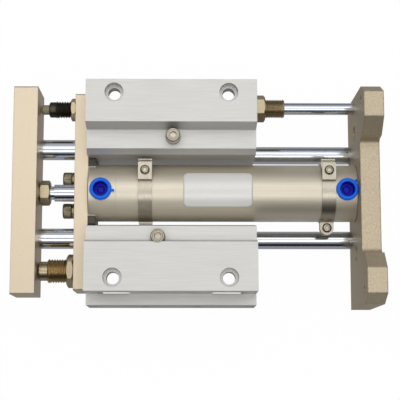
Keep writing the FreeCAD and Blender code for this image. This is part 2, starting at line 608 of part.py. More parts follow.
def front_flange():
    body = doc.addObject("PartDesign::Body", "front_flange")
    half, low, high = "Sizes.flange_half_width", AXIS + " - Sizes.flange_below", \
        AXIS + " + Sizes.flange_above"
    edge = [("-" + half, low), (half, low), (half, high), ("-" + half, high)]
    fit = " + 2 * Sizes.screw_fit"
    holes = both_sides("Sizes.guide_rod_y", GUIDE_ROD_Z, "Sizes.bush_outer")
    holes += both_sides("Sizes.cover_screw_y", AXIS + " - Sizes.cover_screw_drop",
                        "Sizes.cover_screw" + fit)
    for y in BODY_SCREWS:
        holes += both_sides(y, BODY_SCREW_Z, "Sizes.body_screw" + fit)
    holes += [("Sizes.small_damper_y", AXIS, "Sizes.small_damper"),
              ("-Sizes.large_damper_y", AXIS, "Sizes.large_damper"),
              ("0", AXIS, "Sizes.piston_rod + 2 * Sizes.rod_gap")]
    solid = pad(body, sketch(body, "YZ_Plane", "flange_outline", [edge], holes),
                "Sizes.flange_thickness", "flange_pad")
    rounded(body, solid, "Sizes.plate_round", lambda e: lies_at(e, "y", size("flange_half_width")),
            "flange_rounds")
    sunk = []
    for y in BODY_SCREWS:
        sunk += both_sides(y, BODY_SCREW_Z, "Sizes.body_screw_head" + fit)
    pocket(body, sketch(body, "YZ_Plane", "flange_sinks", (), sunk), "Sizes.body_screw_sink",
           "flange_sink_pocket", onward=True)
    return place(body, FLANGE_FRONT)


front_flange()


# Cap screws along X
def cap_screw(name, head, head_height, stem, length, x, y, z, facing=-1):
    """A socket head cap screw; x is the seat of its head, which faces -X or +X."""
    start = "%s - (%s)" % (x, head_height) if facing < 0 else x
    shank = x if facing < 0 else "%s - (%s)" % (x, length)
    well = "%s - Sizes.beyond" % start
    if facing > 0:
        well = "%s + (%s) - Sizes.socket_depth" % (x, head_height)
    solid = join(name + "_solid", [disc(name + "_head", head, head_height, start, y, z),
                                   disc(name + "_stem", stem, length, shank, y, z)])
    return cut(name, solid, [hexagon(name + "_socket", "(%s) / 2" % head,
                                     "Sizes.socket_depth + Sizes.beyond", well, y, z)])


COVER_SEAT = "(%s - Sizes.flat_washer - Sizes.lock_washer)" % FLANGE_FRONT
COVER_SCREW_Z = AXIS + " - Sizes.cover_screw_drop"
group("cover_screws", [
    cap_screw("cover_screw_%s" % tag, "Sizes.cover_screw_head", "Sizes.cover_screw_head_height",
              "Sizes.cover_screw", "Sizes.cover_screw_length", COVER_SEAT,
              "%d * Sizes.cover_screw_y" % side, COVER_SCREW_Z)
    for side, tag in ((1, "right"), (-1, "left"))])

group("body_screws", [
    cap_screw("body_screw_%s_%s" % (tag, y.split("_")[-1]), "Sizes.body_screw_head",
              "Sizes.body_screw_head_height", "Sizes.body_screw", "Sizes.body_screw_length",
              FLANGE_FRONT + " + Sizes.body_screw_sink", "%d * %s" % (side, y), BODY_SCREW_Z)
    for side, tag in ((1, "right"), (-1, "left")) for y in BODY_SCREWS])


# Washers of the rod cover screws, then the guide bushes and wipers in the flange
def ring(name, outer, inner, length, x, y="0", z=AXIS):
    """A plain ring along X."""
    return cut(name, disc(name + "_solid", outer, length, x, y, z),
               [disc(name + "_hole", inner, "(%s) + 2 * Sizes.beyond" % length,
                     "%s - Sizes.beyond" % x, y, z)])


cover_washers = []
for side, tag in ((1, "right"), (-1, "left")):
    for kind, outer, length, seat in (
            ("lock", "Sizes.cover_screw_head", "Sizes.lock_washer", COVER_SEAT),
            ("flat", "Sizes.flat_washer_outer", "Sizes.flat_washer",
             COVER_SEAT + " + Sizes.lock_washer")):
        cover_washers.append(ring("%s_washer_%s" % (kind, tag), outer, "Sizes.cover_screw", length, seat,
                                  "%d * Sizes.cover_screw_y" % side, COVER_SCREW_Z))
group("cover_washers", cover_washers)

guide_running = "Sizes.guide_rod + 2 * Sizes.guide_fit"
bush_length = "Sizes.bush_length - Sizes.wiper_length"
for side, tag in ((1, "right"), (-1, "left")):
    rod_y = "%d * Sizes.guide_rod_y" % side
    ring("slide_bush_" + tag, "Sizes.bush_outer", guide_running, bush_length,
         FLANGE_FRONT + " + Sizes.wiper_length", rod_y, GUIDE_ROD_Z)
    ring("rod_wiper_" + tag, "Sizes.bush_outer", guide_running, "Sizes.wiper_length",
         FLANGE_FRONT, rod_y, GUIDE_ROD_Z)


# Rod cover: the front end of the cylinder, with the front port and the rod bush
def cover_ears():
    """Ears that key the rod cover between the two guide bodies."""
    high = "Sizes.cover_ear_below + Sizes.cover_ear_above"
    bar = block("cover_ear_bar", "Sizes.cover_ears", "2 * Sizes.cover_ear_reach", high, FRONT,
                "-Sizes.cover_ear_reach", AXIS + " - Sizes.cover_ear_below")
    inside = disc("cover_ear_inside", "Sizes.tube_socket", "Sizes.cover_ears + 2 * Sizes.beyond",
                  BEFORE_FRONT)
    return cut("cover_ears", bar, [inside])


def rod_cover():
    wide = "Sizes.tube_outer / 2"
    narrow = "Sizes.tube_socket / 2 - Sizes.spigot_fit"
    spigot = "Sizes.cover_length + Sizes.cover_spigot"
    hole = "Sizes.piston_rod / 2 + Sizes.rod_bush_wall"
    seal = "Sizes.rod_seal_outer / 2"
    floor = "Sizes.tube_socket / 2 - Sizes.gasket_depth"
    groove_start = "Sizes.cover_length + Sizes.gasket_start"
    groove_end = groove_start + " + Sizes.gasket_width"
    body = turned("rod_cover_blank", [
        ("0", seal), ("Sizes.rod_seal_length", seal), ("Sizes.rod_seal_length", hole),
        (spigot, hole), (spigot, narrow), (groove_end, narrow), (groove_end, floor),
        (groove_start, floor), (groove_start, narrow), ("Sizes.cover_length", narrow),
        ("Sizes.cover_length", wide), ("Sizes.tube_chamfer", wide),
        ("0", wide + " - Sizes.tube_chamfer")], FRONT)
    top = AXIS + " + Sizes.tube_outer / 2"
    tools = [disc("front_port", "Sizes.port", "Sizes.port_depth + Sizes.beyond",
                  FRONT + " + Sizes.port_front", "0", top + " - Sizes.port_depth", UPRIGHT),
             disc("front_air_way", "Sizes.air_way",
                  "Sizes.cover_length + Sizes.cover_spigot - Sizes.port_front + Sizes.beyond",
                  FRONT + " + Sizes.port_front", "0", AXIS + " + Sizes.air_way_rise")]
    for side, tag in ((1, "right"), (-1, "left")):
        tools.append(disc("cover_tap_" + tag, "Sizes.cover_screw",
                          "%s + Sizes.cover_screw_length + Sizes.tap_beyond - %s" % (COVER_SEAT, FRONT),
                          FRONT, "%d * Sizes.cover_screw_y" % side, COVER_SCREW_Z))
    return cut("rod_cover", join("rod_cover_eared", [body, cover_ears()]), tools)


rod_cover()
rod_running = "Sizes.piston_rod + 2 * Sizes.guide_fit"
ring("rod_bush", "Sizes.piston_rod + 2 * Sizes.rod_bush_wall", rod_running, "Sizes.rod_bush_length",
     FRONT + " + Sizes.rod_seal_length")
ring("rod_seal", "Sizes.rod_seal_outer", rod_running, "Sizes.rod_seal_length", FRONT)
ring("tube_gasket", "Sizes.tube_socket", "Sizes.tube_socket - 2 * Sizes.gasket_depth",
     "Sizes.gasket_width", COVER_END + " + Sizes.gasket_start")
for name, start in (("front_bumper", SPIGOT_END), ("rear_bumper", HEAD_FACE + " - Sizes.bumper")):
    ring(name, "Sizes.bore - 2 * Sizes.piston_fit", "Sizes.bumper_hole", "Sizes.bumper", start)


# Cylinder tube: closed at the rear, where the rear port is
def cylinder_tube():
    wide = "Sizes.tube_outer / 2"
    length = "(%s - %s)" % (CYLINDER_END, COVER_END)
    socket = "Sizes.tube_socket / 2"
    inside = "Sizes.bore / 2"
    body = turned("tube_blank", [
        ("0", socket), ("Sizes.cover_spigot", socket), ("Sizes.cover_spigot", inside),
        ("%s - Sizes.head_length" % length, inside), ("%s - Sizes.head_length" % length, "0"),
        (length, "0"), (length, wide + " - Sizes.tube_chamfer"),
        ("%s - Sizes.tube_chamfer" % length, wide), ("0", wide)],
        COVER_END)
    top = AXIS + " + Sizes.tube_outer / 2"
    tools = [disc("rear_port", "Sizes.port", "Sizes.port_depth + Sizes.beyond",
                  CYLINDER_END + " - Sizes.port_rear", "0", top + " - Sizes.port_depth", UPRIGHT),
             disc("rear_air_way", "Sizes.air_way",
                  "Sizes.head_length - Sizes.port_rear + Sizes.beyond",
                  HEAD_FACE + " - Sizes.beyond", "0", AXIS + " + Sizes.air_way_rise")]
    taps = "Sizes.head_screw_length + Sizes.head_screw_sink - Sizes.rear_thickness + Sizes.tap_beyond"
    for name, y, z in HEAD_SCREWS:
        tools.append(disc(name + "_tap", "Sizes.head_screw", taps + " + Sizes.beyond",
                          "%s - (%s)" % (CYLINDER_END, taps), y, z))
    return cut("cylinder_tube", body, tools)


HEAD_SCREWS = [
    ("head_screw_%d" % (2 * (side < 0) + (up < 0) + 1), "%d * Sizes.head_screw_spread" % side,
     "%s + %d * Sizes.head_screw_spread" % (AXIS, up))
    for side in (1, -1) for up in (1, -1)]
cylinder_tube()


# Port caps: soft plugs pressed into the two air ports for transport, each with a pull tab
def port_cap(name, x, tab_turn):
    """One cap; its pull tab points tab_turn degrees off the +X direction."""
    top = AXIS + " + Sizes.tube_outer / 2"
    rim = disc(name + "_rim", "Sizes.cap_flange", "Sizes.cap_rim + Sizes.cap_skirt", x, "0",
               top + " - Sizes.cap_skirt", UPRIGHT)
    under = disc(name + "_tube_shape", "Sizes.tube_outer", "2 * Sizes.cap_flange",
                 "%s - Sizes.cap_flange" % x)
    plug = disc(name + "_plug", "Sizes.port - 2 * Sizes.screw_fit",
                "Sizes.port_depth - Sizes.cap_short", x, "0",
                top + " - Sizes.port_depth + Sizes.cap_short", UPRIGHT)
    turn = FreeCAD.Rotation(FreeCAD.Vector(0, 0, 1), tab_turn).multiply(ALONG_X)
    tab = disc(name + "_tab", "Sizes.cap_tab", "Sizes.cap_tab_reach", x, "0",
               top + " + Sizes.cap_rim / 2", turn)
    recess = disc(name + "_recess", "Sizes.cap_bore", "Sizes.cap_depth + Sizes.beyond", x, "0",
                  top + " + Sizes.cap_rim - Sizes.cap_depth", UPRIGHT)
    seated = cut(name + "_seated", rim, [under])
    return cut(name, join(name + "_solid", [seated, plug, tab]), [recess])


FRONT_TAB_TURN = -8
REAR_TAB_TURN = 45
port_cap("port_cap_front", FRONT + " + Sizes.port_front", FRONT_TAB_TURN)
port_cap("port_cap_rear", CYLINDER_END + " - Sizes.port_rear", REAR_TAB_TURN)


# Switch bands: a sheet hoop round the tube, clamped by ears at its side, with a switch tab on top
BAND_FRONT = FRONT + " + Sizes.band_front_x"
BAND_REAR = CYLINDER_END + " - Sizes.band_rear_x"
TAB_BASE = AXIS + " + Sizes.tube_outer / 2 + Sizes.band_tab_lift"
FOOT_BASE = AXIS + " + Sizes.tube_outer / 2 - Sizes.band_foot_drop"
EAR_TOP = AXIS + " + Sizes.band_ear_gap / 2 + Sizes.band_sheet"
EAR_LOW = AXIS + " - Sizes.band_ear_gap / 2 - Sizes.band_sheet"
EAR_SCREW_Y = "(-Sizes.tube_outer / 2 - Sizes.band_ear_rear / 2)"


def switch_band(name, x, reach, bolted):
    """One band; only a bolted one has room for a clamp screw, round which its ears end."""
    start = "%s - Sizes.band_width / 2" % x
    ahead = start + " - Sizes.beyond"
    wide = "Sizes.band_width + 2 * Sizes.beyond"
    sheet = "Sizes.band_sheet"
    parts = [disc(name + "_hoop", "Sizes.tube_outer + 2 * Sizes.band_sheet", "Sizes.band_width", start)]
    for tag, long_y, high, y, z in (
            ("tab", "Sizes.band_tab_outer - Sizes.band_tab_inner", sheet, "Sizes.band_tab_inner",
             TAB_BASE),
            ("riser", sheet, "Sizes.band_riser + Sizes.band_sheet", "Sizes.band_tab_inner",
             TAB_BASE + " - Sizes.band_riser"),
            ("foot", "Sizes.band_foot_outer - Sizes.band_foot_inner", sheet, "Sizes.band_foot_inner",
             FOOT_BASE),
            ("lip", sheet, "Sizes.band_foot_lip", "Sizes.band_foot_outer - Sizes.band_sheet",
             FOOT_BASE)):
        parts.append(block("%s_%s" % (name, tag), "Sizes.band_width", long_y, high, start, y, z))
    ear_y = EAR_SCREW_Y if bolted else "(-Sizes.tube_outer / 2 - %s)" % reach
    for level, z in (("upper", EAR_TOP + " - Sizes.band_sheet"), ("lower", EAR_LOW)):
        parts.append(block("%s_ear_%s" % (name, level), "Sizes.band_width",
                           "-Sizes.tube_outer / 2 + Sizes.beyond - " + ear_y, sheet, start, ear_y, z))
        if bolted:
            parts.append(disc("%s_ear_%s_end" % (name, level), "Sizes.band_width", sheet, x, ear_y, z,
                              UPRIGHT))
    hole = "Sizes.band_screw + 2 * Sizes.screw_fit"
    tools = [disc(name + "_tube_hole", "Sizes.tube_outer", wide, ahead),
             block(name + "_gap", wide, "Sizes.tube_outer / 2", "Sizes.band_ear_gap", ahead,
                   "-Sizes.tube_outer / 2 - %s - Sizes.beyond" % reach,
                   AXIS + " - Sizes.band_ear_gap / 2"),
             disc(name + "_tab_hole", hole, "Sizes.band_sheet + 2 * Sizes.beyond", x,
                  "Sizes.band_tab_screw", TAB_BASE + " - Sizes.beyond", UPRIGHT)]
    if bolted:
        tools.append(disc(name + "_ear_hole", hole,
                          "Sizes.band_ear_gap + 2 * Sizes.band_sheet + 2 * Sizes.beyond", x,
                          EAR_SCREW_Y, EAR_LOW + " - Sizes.beyond", UPRIGHT))
    return cut(name, join(name + "_solid", parts), tools)


switch_band("switch_band_front", BAND_FRONT, "Sizes.band_ear_front", False)
switch_band("switch_band_rear", BAND_REAR, "Sizes.band_ear_rear", True)


def band_screw(name, x, y, seat, grip, nut_height):
    """A pan head screw with its nut, upright; seat is the plane under its head."""
    head = disc(name + "_head", "Sizes.band_screw_head", "Sizes.band_screw_rise", x, y, seat, UPRIGHT)
    low = "%s - (%s) - %s" % (seat, grip, nut_height)
    stem = disc(name + "_stem", "Sizes.band_screw", "(%s) + %s" % (grip, nut_height), x, y, low, UPRIGHT)
    nut = hexagon(name + "_nut", "Sizes.band_nut_flats", nut_height, x, y, low, UPRIGHT)
    socket = hexagon(name + "_socket", "Sizes.band_socket", "Sizes.band_screw_rise", x, y,
                     "%s + Sizes.band_screw_rise / 2" % seat, UPRIGHT)
    return cut(name, join(name + "_solid", [head, stem, nut]), [socket])


TAB_TOP = TAB_BASE + " + Sizes.band_sheet"
group("band_screws", [
    band_screw("tab_screw_front", BAND_FRONT, "Sizes.band_tab_screw", TAB_TOP, "Sizes.band_sheet",
               "Sizes.tab_nut_height"),
    band_screw("tab_screw_rear", BAND_REAR, "Sizes.band_tab_screw", TAB_TOP, "Sizes.band_sheet",
               "Sizes.tab_nut_height"),
    band_screw("ear_screw", BAND_REAR, EAR_SCREW_Y, EAR_TOP,
               "Sizes.band_ear_gap + 2 * Sizes.band_sheet", "Sizes.ear_nut_height")])


# Label: a thin blank sheet bent round the top of the tube
def label_sheet():
    outer = disc("label_outer", "Sizes.tube_outer + 2 * Sizes.label_sheet", "Sizes.label_length",
                 "Sizes.label_from", "0", AXIS, ALONG_X)
    outer.setExpression("Angle", "Sizes.label_sweep")
    # The sector starts at the piece's own X, which this turn points half the sweep off straight up
    half = FreeCAD.Rotation(FreeCAD.Vector(1, 0, 0), 180 - size("label_sweep") / 2)
    outer.Placement = FreeCAD.Placement(outer.Placement.Base, half.multiply(ALONG_X))
    return cut("label_sheet", outer,
               [disc("label_tube", "Sizes.tube_outer", "Sizes.label_length + 2 * Sizes.beyond",
                     "Sizes.label_from - Sizes.beyond")])


label_sheet()


# Piston, with its seal, magnet and wear ring, and the piston rod
GROOVE_FLOOR = "(Sizes.bore / 2 - Sizes.piston_fit - Sizes.groove_depth)"
GROOVES = [
    ("piston_seal", "Sizes.seal_start", "Sizes.seal_width", "Sizes.guide_fit"),
    ("piston_magnet", "Sizes.magnet_start", "Sizes.magnet_width", "Sizes.magnet_gap"),
    ("wear_ring", "Sizes.wear_start", "Sizes.wear_width", "Sizes.guide_fit"),
]


def piston():
    rim = "Sizes.bore / 2 - Sizes.piston_fit"
    hole = "Sizes.rod_thread / 2"
    outline = [("0", hole), ("0", rim)]
    for name, start, width, gap in GROOVES:
        ring(name, "Sizes.bore - 2 * " + gap, "2 * " + GROOVE_FLOOR, width,
             "%s + %s" % (PISTON_X, start))
        stop = "%s + %s" % (start, width)
        outline += [(start, rim), (start, GROOVE_FLOOR), (stop, GROOVE_FLOOR), (stop, rim)]
    outline += [("Sizes.piston_length", rim), ("Sizes.piston_length", hole)]
    turned("piston", outline, PISTON_X)


def piston_rod():
    shoulder = "%s - %s - Sizes.rod_end_depth" % (PISTON_X, PLATE_FRONT)
    end = shoulder + " + Sizes.piston_length"
    thread, bar = "Sizes.rod_thread / 2", "Sizes.piston_rod / 2"
    turned("piston_rod", [
        ("0", "0"), ("0", thread), ("Sizes.rod_thread_length", thread),
        ("Sizes.rod_thread_length", bar), (shoulder, bar), (shoulder, thread), (end, thread),
        (end, "0")], PLATE_FRONT + " + Sizes.rod_end_depth")


piston()
piston_rod()


# Front plate, its nut and washer, and the guide rods with their end screws
def front_plate():
    body = doc.addObject("PartDesign::Body", "front_plate")
    half, low, high = "Sizes.front_half_width", AXIS + " - Sizes.front_below", \
        AXIS + " + Sizes.front_above"
    edge = [("-" + half, low), (half, low), (half, high), ("-" + half, high)]
    holes = both_sides("Sizes.guide_rod_y", GUIDE_ROD_Z, "Sizes.rod_screw + 2 * Sizes.screw_fit")
    holes += [("0", AXIS, "Sizes.rod_thread")]
    solid = pad(body, sketch(body, "YZ_Plane", "plate_outline", [edge], holes),
                "Sizes.front_thickness", "plate_pad")
    rounded(body, solid, "Sizes.plate_round", lambda e: lies_at(e, "y", size("front_half_width")),
            "plate_rounds")
    pocket(body, sketch(body, "YZ_Plane", "plate_sinks", (),
                        both_sides("Sizes.guide_rod_y", GUIDE_ROD_Z,
                                   "Sizes.rod_screw_head + 2 * Sizes.screw_fit")),
           "Sizes.rod_screw_sink", "plate_sink_pocket", onward=True)
    taps = []
    for up in (-1, 1):
        level = "%s + (Sizes.front_above - Sizes.front_below) / 2 + %d * Sizes.tool_pitch_z / 2" % (
            AXIS, up)
        taps += both_sides("Sizes.tool_pitch_y / 2", level, "Sizes.tool_hole")
    pocket(body, sketch(body, "YZ_Plane", "plate_taps", (), taps), "Sizes.tool_depth",
           "plate_tap_pocket", onward=True)
    pocket(body, sketch(body, "YZ_Plane", "plate_seats", (),
                        both_sides("Sizes.guide_rod_y", GUIDE_ROD_Z, "Sizes.rod_spigot"),
                        "Sizes.front_thickness"),
           "Sizes.rod_spigot_length", "plate_seat_pocket")
    return place(body, PLATE_FRONT)


front_plate()

for side, tag in ((1, "right"), (-1, "left")):
    rod_y = "%d * Sizes.guide_rod_y" % side
    tap = "Sizes.rod_screw / 2"
    tail = "%s - Sizes.guide_tail - %s + Sizes.rod_spigot_length" % (REAR, PLATE_BACK)
    turned("guide_rod_" + tag, [
        ("0", tap), ("0", "Sizes.rod_spigot / 2"), ("Sizes.rod_spigot_length", "Sizes.rod_spigot / 2"),
        ("Sizes.rod_spigot_length", "Sizes.guide_rod / 2"),
        (tail + " - Sizes.pin_chamfer", "Sizes.guide_rod / 2"),
        (tail, "Sizes.guide_rod / 2 - Sizes.pin_chamfer"), (tail, "0"), ("Sizes.rod_screw_length", "0"),
        ("Sizes.rod_screw_length", tap)],
        PLATE_BACK + " - Sizes.rod_spigot_length", rod_y, GUIDE_ROD_Z)

group("guide_rod_screws", [
    cap_screw("guide_rod_screw_" + tag, "Sizes.rod_screw_head", "Sizes.rod_screw_head_height",
              "Sizes.rod_screw", "Sizes.rod_screw_length", PLATE_FRONT + " + Sizes.rod_screw_sink",
              "%d * Sizes.guide_rod_y" % side, GUIDE_ROD_Z)
    for side, tag in ((1, "right"), (-1, "left"))])

ring("rod_washer", "Sizes.washer_outer", "Sizes.rod_thread", "Sizes.rod_washer", PLATE_BACK)


def nut(name, flats, hole, length, x, y="0"):
    """A hexagon nut along X."""
    return cut(name, hexagon(name + "_hexagon", flats, length, x, y),
               [disc(name + "_hole", hole, "(%s) + 2 * Sizes.beyond" % length,
                     "%s - Sizes.beyond" % x, y)])


nut("rod_nut", "Sizes.rod_nut_flats", "Sizes.rod_thread", "Sizes.rod_nut_length",
    PLATE_BACK + " + Sizes.rod_washer")


# Dampers: threaded sleeves in the flange with lock nuts and plungers that stop the front plate
def damper(name, thread, front, pin, y, flats, nut_length, collar=None, collar_length="0"):
    """A sleeve with its nut and its plunger."""
    thread_front = "%s - %s" % (FLANGE_FRONT, front)
    mouth = "(%s - %s)" % (thread_front, collar_length)
    tip = "(%s + Sizes.pin_gap)" % PLATE_BACK
    pin_end = "%s - %s + Sizes.pin_inside" % (mouth, tip)
    depth = "Sizes.pin_inside + Sizes.damper_travel + Sizes.pin_beyond"
    hole = "%s / 2 + Sizes.pin_fit" % pin
    long_x = "%s - %s" % (FRONT, mouth)
    outline = [("0", hole)]
    nose = collar or thread
    outline += [("0", nose + " / 2 - Sizes.thread_chamfer"), ("Sizes.thread_chamfer", nose + " / 2")]
    if collar:
        outline += [(collar_length, collar + " / 2"), (collar_length, thread + " / 2")]
    outline += [(long_x, thread + " / 2"), (long_x, "0"), (depth, "0"), (depth, hole)]
    turned(name + "_sleeve", outline, mouth, y)
    turned(name + "_plunger", [
        ("0", "0"), ("0", pin + " / 2 - Sizes.pin_chamfer"), ("Sizes.pin_chamfer", pin + " / 2"),
        (pin_end, pin + " / 2"), (pin_end, "0")], tip, y)
    nut(name + "_nut", flats, thread, nut_length, "%s - %s" % (FLANGE_FRONT, nut_length), y)


damper("small_damper", "Sizes.small_damper", "Sizes.small_damper_front", "Sizes.small_pin",
       "Sizes.small_damper_y", "Sizes.small_nut_flats", "Sizes.small_nut_length",
       "Sizes.small_collar", "Sizes.small_collar_length")
damper("large_damper", "Sizes.large_damper", "Sizes.large_damper_front", "Sizes.large_pin",
       "-Sizes.large_damper_y", "Sizes.large_nut_flats", "Sizes.large_nut_length")


# Rear plate: one casting, a middle bar behind the cylinder with a horn at each end
def rear_plate():
    body = doc.addObject("PartDesign::Body", "rear_plate")

    def level(rule):
        return "%s + %s" % (AXIS, rule)

    half = [
        ("Sizes.rear_half_width", level("-Sizes.rear_below")),
        ("Sizes.rear_half_width", level("Sizes.horn_shoulder")),
        ("Sizes.horn_outer_top", level("Sizes.horn_top")),
        ("Sizes.horn_inner_top", level("Sizes.horn_top")),
        ("Sizes.horn_inner_foot", level("Sizes.horn_flank_foot")),
        ("Sizes.horn_inner_foot - Sizes.horn_lean", level("Sizes.rear_bar_above")),
    ]
    whole = half + [("-(%s)" % u, v) for u, v in reversed(half)]
    outline = [(u + " - Sizes.rear_shift", v) for u, v in whole]
    fit = " + 2 * Sizes.screw_fit"
    holes = both_sides("Sizes.stay_rod_y", STAY_ROD_Z, "Sizes.stay_screw" + fit)
    taps = both_sides("Sizes.rear_tap_y", level("Sizes.rear_tap_rise"), "Sizes.rear_tap")
    holes += [(u + " - Sizes.rear_shift", v, hole) for u, v, hole in taps]
    holes += both_sides("Sizes.rear_hole_y", level("Sizes.rear_hole_rise"), "Sizes.rear_hole")
    holes += [(y, z, "Sizes.head_screw" + fit) for name, y, z in HEAD_SCREWS]
    solid = pad(body, sketch(body, "YZ_Plane", "rear_outline", [outline], holes),
                "Sizes.rear_thickness", "rear_pad")
    bar_top = size("rear_bar_above") - size("axis_drop")
    rounded(body, solid, "Sizes.horn_round", lambda e: lies_at(e, "z", bar_top), "rear_rounds")
    pocket(body, sketch(body, "YZ_Plane", "rear_seats", (),
                        both_sides("Sizes.stay_rod_y", STAY_ROD_Z, "Sizes.stay_rod")
                        + [("Sizes.slim_rod_y", AXIS, "Sizes.slim_rod")]),
           "Sizes.stay_seat", "rear_seat_pocket", onward=True)
    pocket(body, sketch(body, "YZ_Plane", "rear_stay_sinks", (),
                        both_sides("Sizes.stay_rod_y", STAY_ROD_Z, "Sizes.stay_screw_head" + fit),
                        "Sizes.rear_thickness"),
           "Sizes.stay_screw_sink", "rear_stay_sink_pocket")
    pocket(body, sketch(body, "YZ_Plane", "rear_head_sinks", (),
                        [(y, z, "Sizes.head_screw_head" + fit) for name, y, z in HEAD_SCREWS],
                        "Sizes.rear_thickness"),
           "Sizes.head_screw_sink", "rear_head_sink_pocket")
    return place(body, CYLINDER_END)


rear_plate()
REAR_BACK = "(%s + Sizes.rear_thickness)" % CYLINDER_END
PLATE_SEAT = "(%s + Sizes.stay_seat)" % CYLINDER_END

for side, tag in ((1, "right"), (-1, "left")):
    reach = "%s - %s + Sizes.stay_socket" % (PLATE_SEAT, REAR)
    thread = "Sizes.stay_screw / 2"
    gripped = "Sizes.rear_thickness - Sizes.stay_seat - Sizes.stay_screw_sink"
    deep = "%s - Sizes.stay_screw_length + %s - Sizes.tap_beyond" % (reach, gripped)
    turned("stay_rod_" + tag, [
        ("0", "0"), ("0", "Sizes.stay_rod / 2"), (reach, "Sizes.stay_rod / 2"), (reach, thread),
        (deep, thread), (deep, "0")],
        REAR + " - Sizes.stay_socket", "%d * Sizes.stay_rod_y" % side, STAY_ROD_Z)

group("head_screws", [
    cap_screw(name, "Sizes.head_screw_head", "Sizes.head_screw_head_height", "Sizes.head_screw",
              "Sizes.head_screw_length", REAR_BACK + " - Sizes.head_screw_sink", y, z, facing=1)
    for name, y, z in HEAD_SCREWS])

group("stay_screws", [
    cap_screw("stay_screw_" + tag, "Sizes.stay_screw_head", "Sizes.stay_screw_head_height",
              "Sizes.stay_screw", "Sizes.stay_screw_length",
              REAR_BACK + " - Sizes.stay_screw_sink", "%d * Sizes.stay_rod_y" % side, STAY_ROD_Z,
              facing=1)
    for side, tag in ((1, "right"), (-1, "left"))])

disc("slim_rod", "Sizes.slim_rod", "%s - %s + Sizes.gland_shank" % (PLATE_SEAT, REAR),
     REAR + " - Sizes.gland_shank", "Sizes.slim_rod_y")

gland_length = "Sizes.gland_shank + Sizes.gland_hex_length + Sizes.gland_thread_length"
gland_solid = join("gland_solid", [
    hexagon("gland_hexagon", "Sizes.gland_flats", "Sizes.gland_hex_length", REAR, "Sizes.slim_rod_y"),
    disc("gland_neck", "Sizes.gland_thread", gland_length, REAR + " - Sizes.gland_shank",
         "Sizes.slim_rod_y")])
cut("gland", gland_solid, [
    disc("gland_hole", "Sizes.slim_rod", gland_length + " + 2 * Sizes.beyond",
         REAR + " - Sizes.gland_shank - Sizes.beyond", "Sizes.slim_rod_y")])


# Check the whole document, then write one file for each piece
NODES = [
    "guide_body_right", "guide_body_left", "side_rail", "rail_screws", "grease_plugs", "front_flange",
    "cover_screws", "cover_washers", "body_screws", "slide_bush_right", "slide_bush_left",
    "rod_wiper_right", "rod_wiper_left", "rod_cover", "rod_bush", "rod_seal", "tube_gasket",
    "front_bumper", "rear_bumper", "cylinder_tube", "port_cap_front", "port_cap_rear",
    "switch_band_front", "switch_band_rear", "band_screws", "label_sheet", "piston", "piston_seal",
    "piston_magnet", "wear_ring", "piston_rod", "front_plate", "guide_rod_right", "guide_rod_left",
    "guide_rod_screws", "rod_washer", "rod_nut", "small_damper_sleeve", "small_damper_plunger",
    "small_damper_nut", "large_damper_sleeve", "large_damper_plunger", "large_damper_nut",
    "rear_plate", "stay_rod_right", "stay_rod_left", "stay_screws", "head_screws", "slim_rod", "gland",
]

doc.recompute()
for item in doc.Objects:
    if "Invalid" in item.State or "Error" in item.State:
        raise RuntimeError("%s failed: %s" % (item.Name, item.State))

for node in NODES:
    piece = doc.getObject(node)
    piece.Label = node
    shape = piece.Shape
    if shape.isNull() or not shape.isValid() or not shape.Solids:
        raise RuntimeError("%s has no sound shape" % node)
    shape.exportStep("parts/%s.step" % node)
print("%d nodes written" % len(NODES))
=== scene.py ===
# %% [markdown]
# # A guided pneumatic cylinder
# An air cylinder lies between two guide bodies. Its piston rod and two guide rods push a thick
# front plate out, and a horned plate closes the rear. The solids come packed and in place, so this
# lesson gives them their finishes, cuts the threads, shapes the nuts, the port caps and the label,
# and sets the light and the camera of a plain catalogue picture.

# %% Load the solids
import math

import bmesh
import bpy
import numpy as np
from mathutils import Matrix, Vector


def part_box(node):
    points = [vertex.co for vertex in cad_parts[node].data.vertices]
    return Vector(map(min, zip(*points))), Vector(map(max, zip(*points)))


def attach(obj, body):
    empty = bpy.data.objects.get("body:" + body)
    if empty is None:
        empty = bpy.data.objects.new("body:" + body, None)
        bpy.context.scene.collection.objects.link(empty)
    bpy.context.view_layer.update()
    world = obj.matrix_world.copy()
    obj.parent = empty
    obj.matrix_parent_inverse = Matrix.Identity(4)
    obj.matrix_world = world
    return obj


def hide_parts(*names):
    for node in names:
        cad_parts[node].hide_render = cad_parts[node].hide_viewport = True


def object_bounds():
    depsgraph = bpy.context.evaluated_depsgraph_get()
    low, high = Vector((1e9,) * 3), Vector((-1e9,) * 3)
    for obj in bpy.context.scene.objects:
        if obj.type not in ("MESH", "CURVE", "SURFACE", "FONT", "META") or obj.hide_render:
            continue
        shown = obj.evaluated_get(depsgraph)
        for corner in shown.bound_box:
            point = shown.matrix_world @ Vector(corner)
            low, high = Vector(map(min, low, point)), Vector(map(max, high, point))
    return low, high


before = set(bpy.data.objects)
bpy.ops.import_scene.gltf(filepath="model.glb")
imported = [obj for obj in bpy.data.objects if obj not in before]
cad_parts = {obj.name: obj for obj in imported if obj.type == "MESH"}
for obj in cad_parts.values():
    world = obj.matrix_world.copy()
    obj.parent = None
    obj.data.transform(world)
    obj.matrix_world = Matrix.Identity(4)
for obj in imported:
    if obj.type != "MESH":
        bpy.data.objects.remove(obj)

MM = 0.001
cad_box = [list(corner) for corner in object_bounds()]
scene = bpy.context.scene
print("packed size in mm:", [round((high - low) / MM, 1) for low, high in zip(*cad_box)])

# %% [markdown]
# ## The camera
# The picture was taken from almost straight above, with a long lens, from a little towards the
# left guide body, so that walls facing that way just show. A long lens could be faked with an
# orthographic camera, but then the taller guide bodies would not lean outwards as they do here,
# so a real lens stands at a real distance. Its place came from a least squares fit of some fifty
# corners and edges of the solids to their places in the picture.

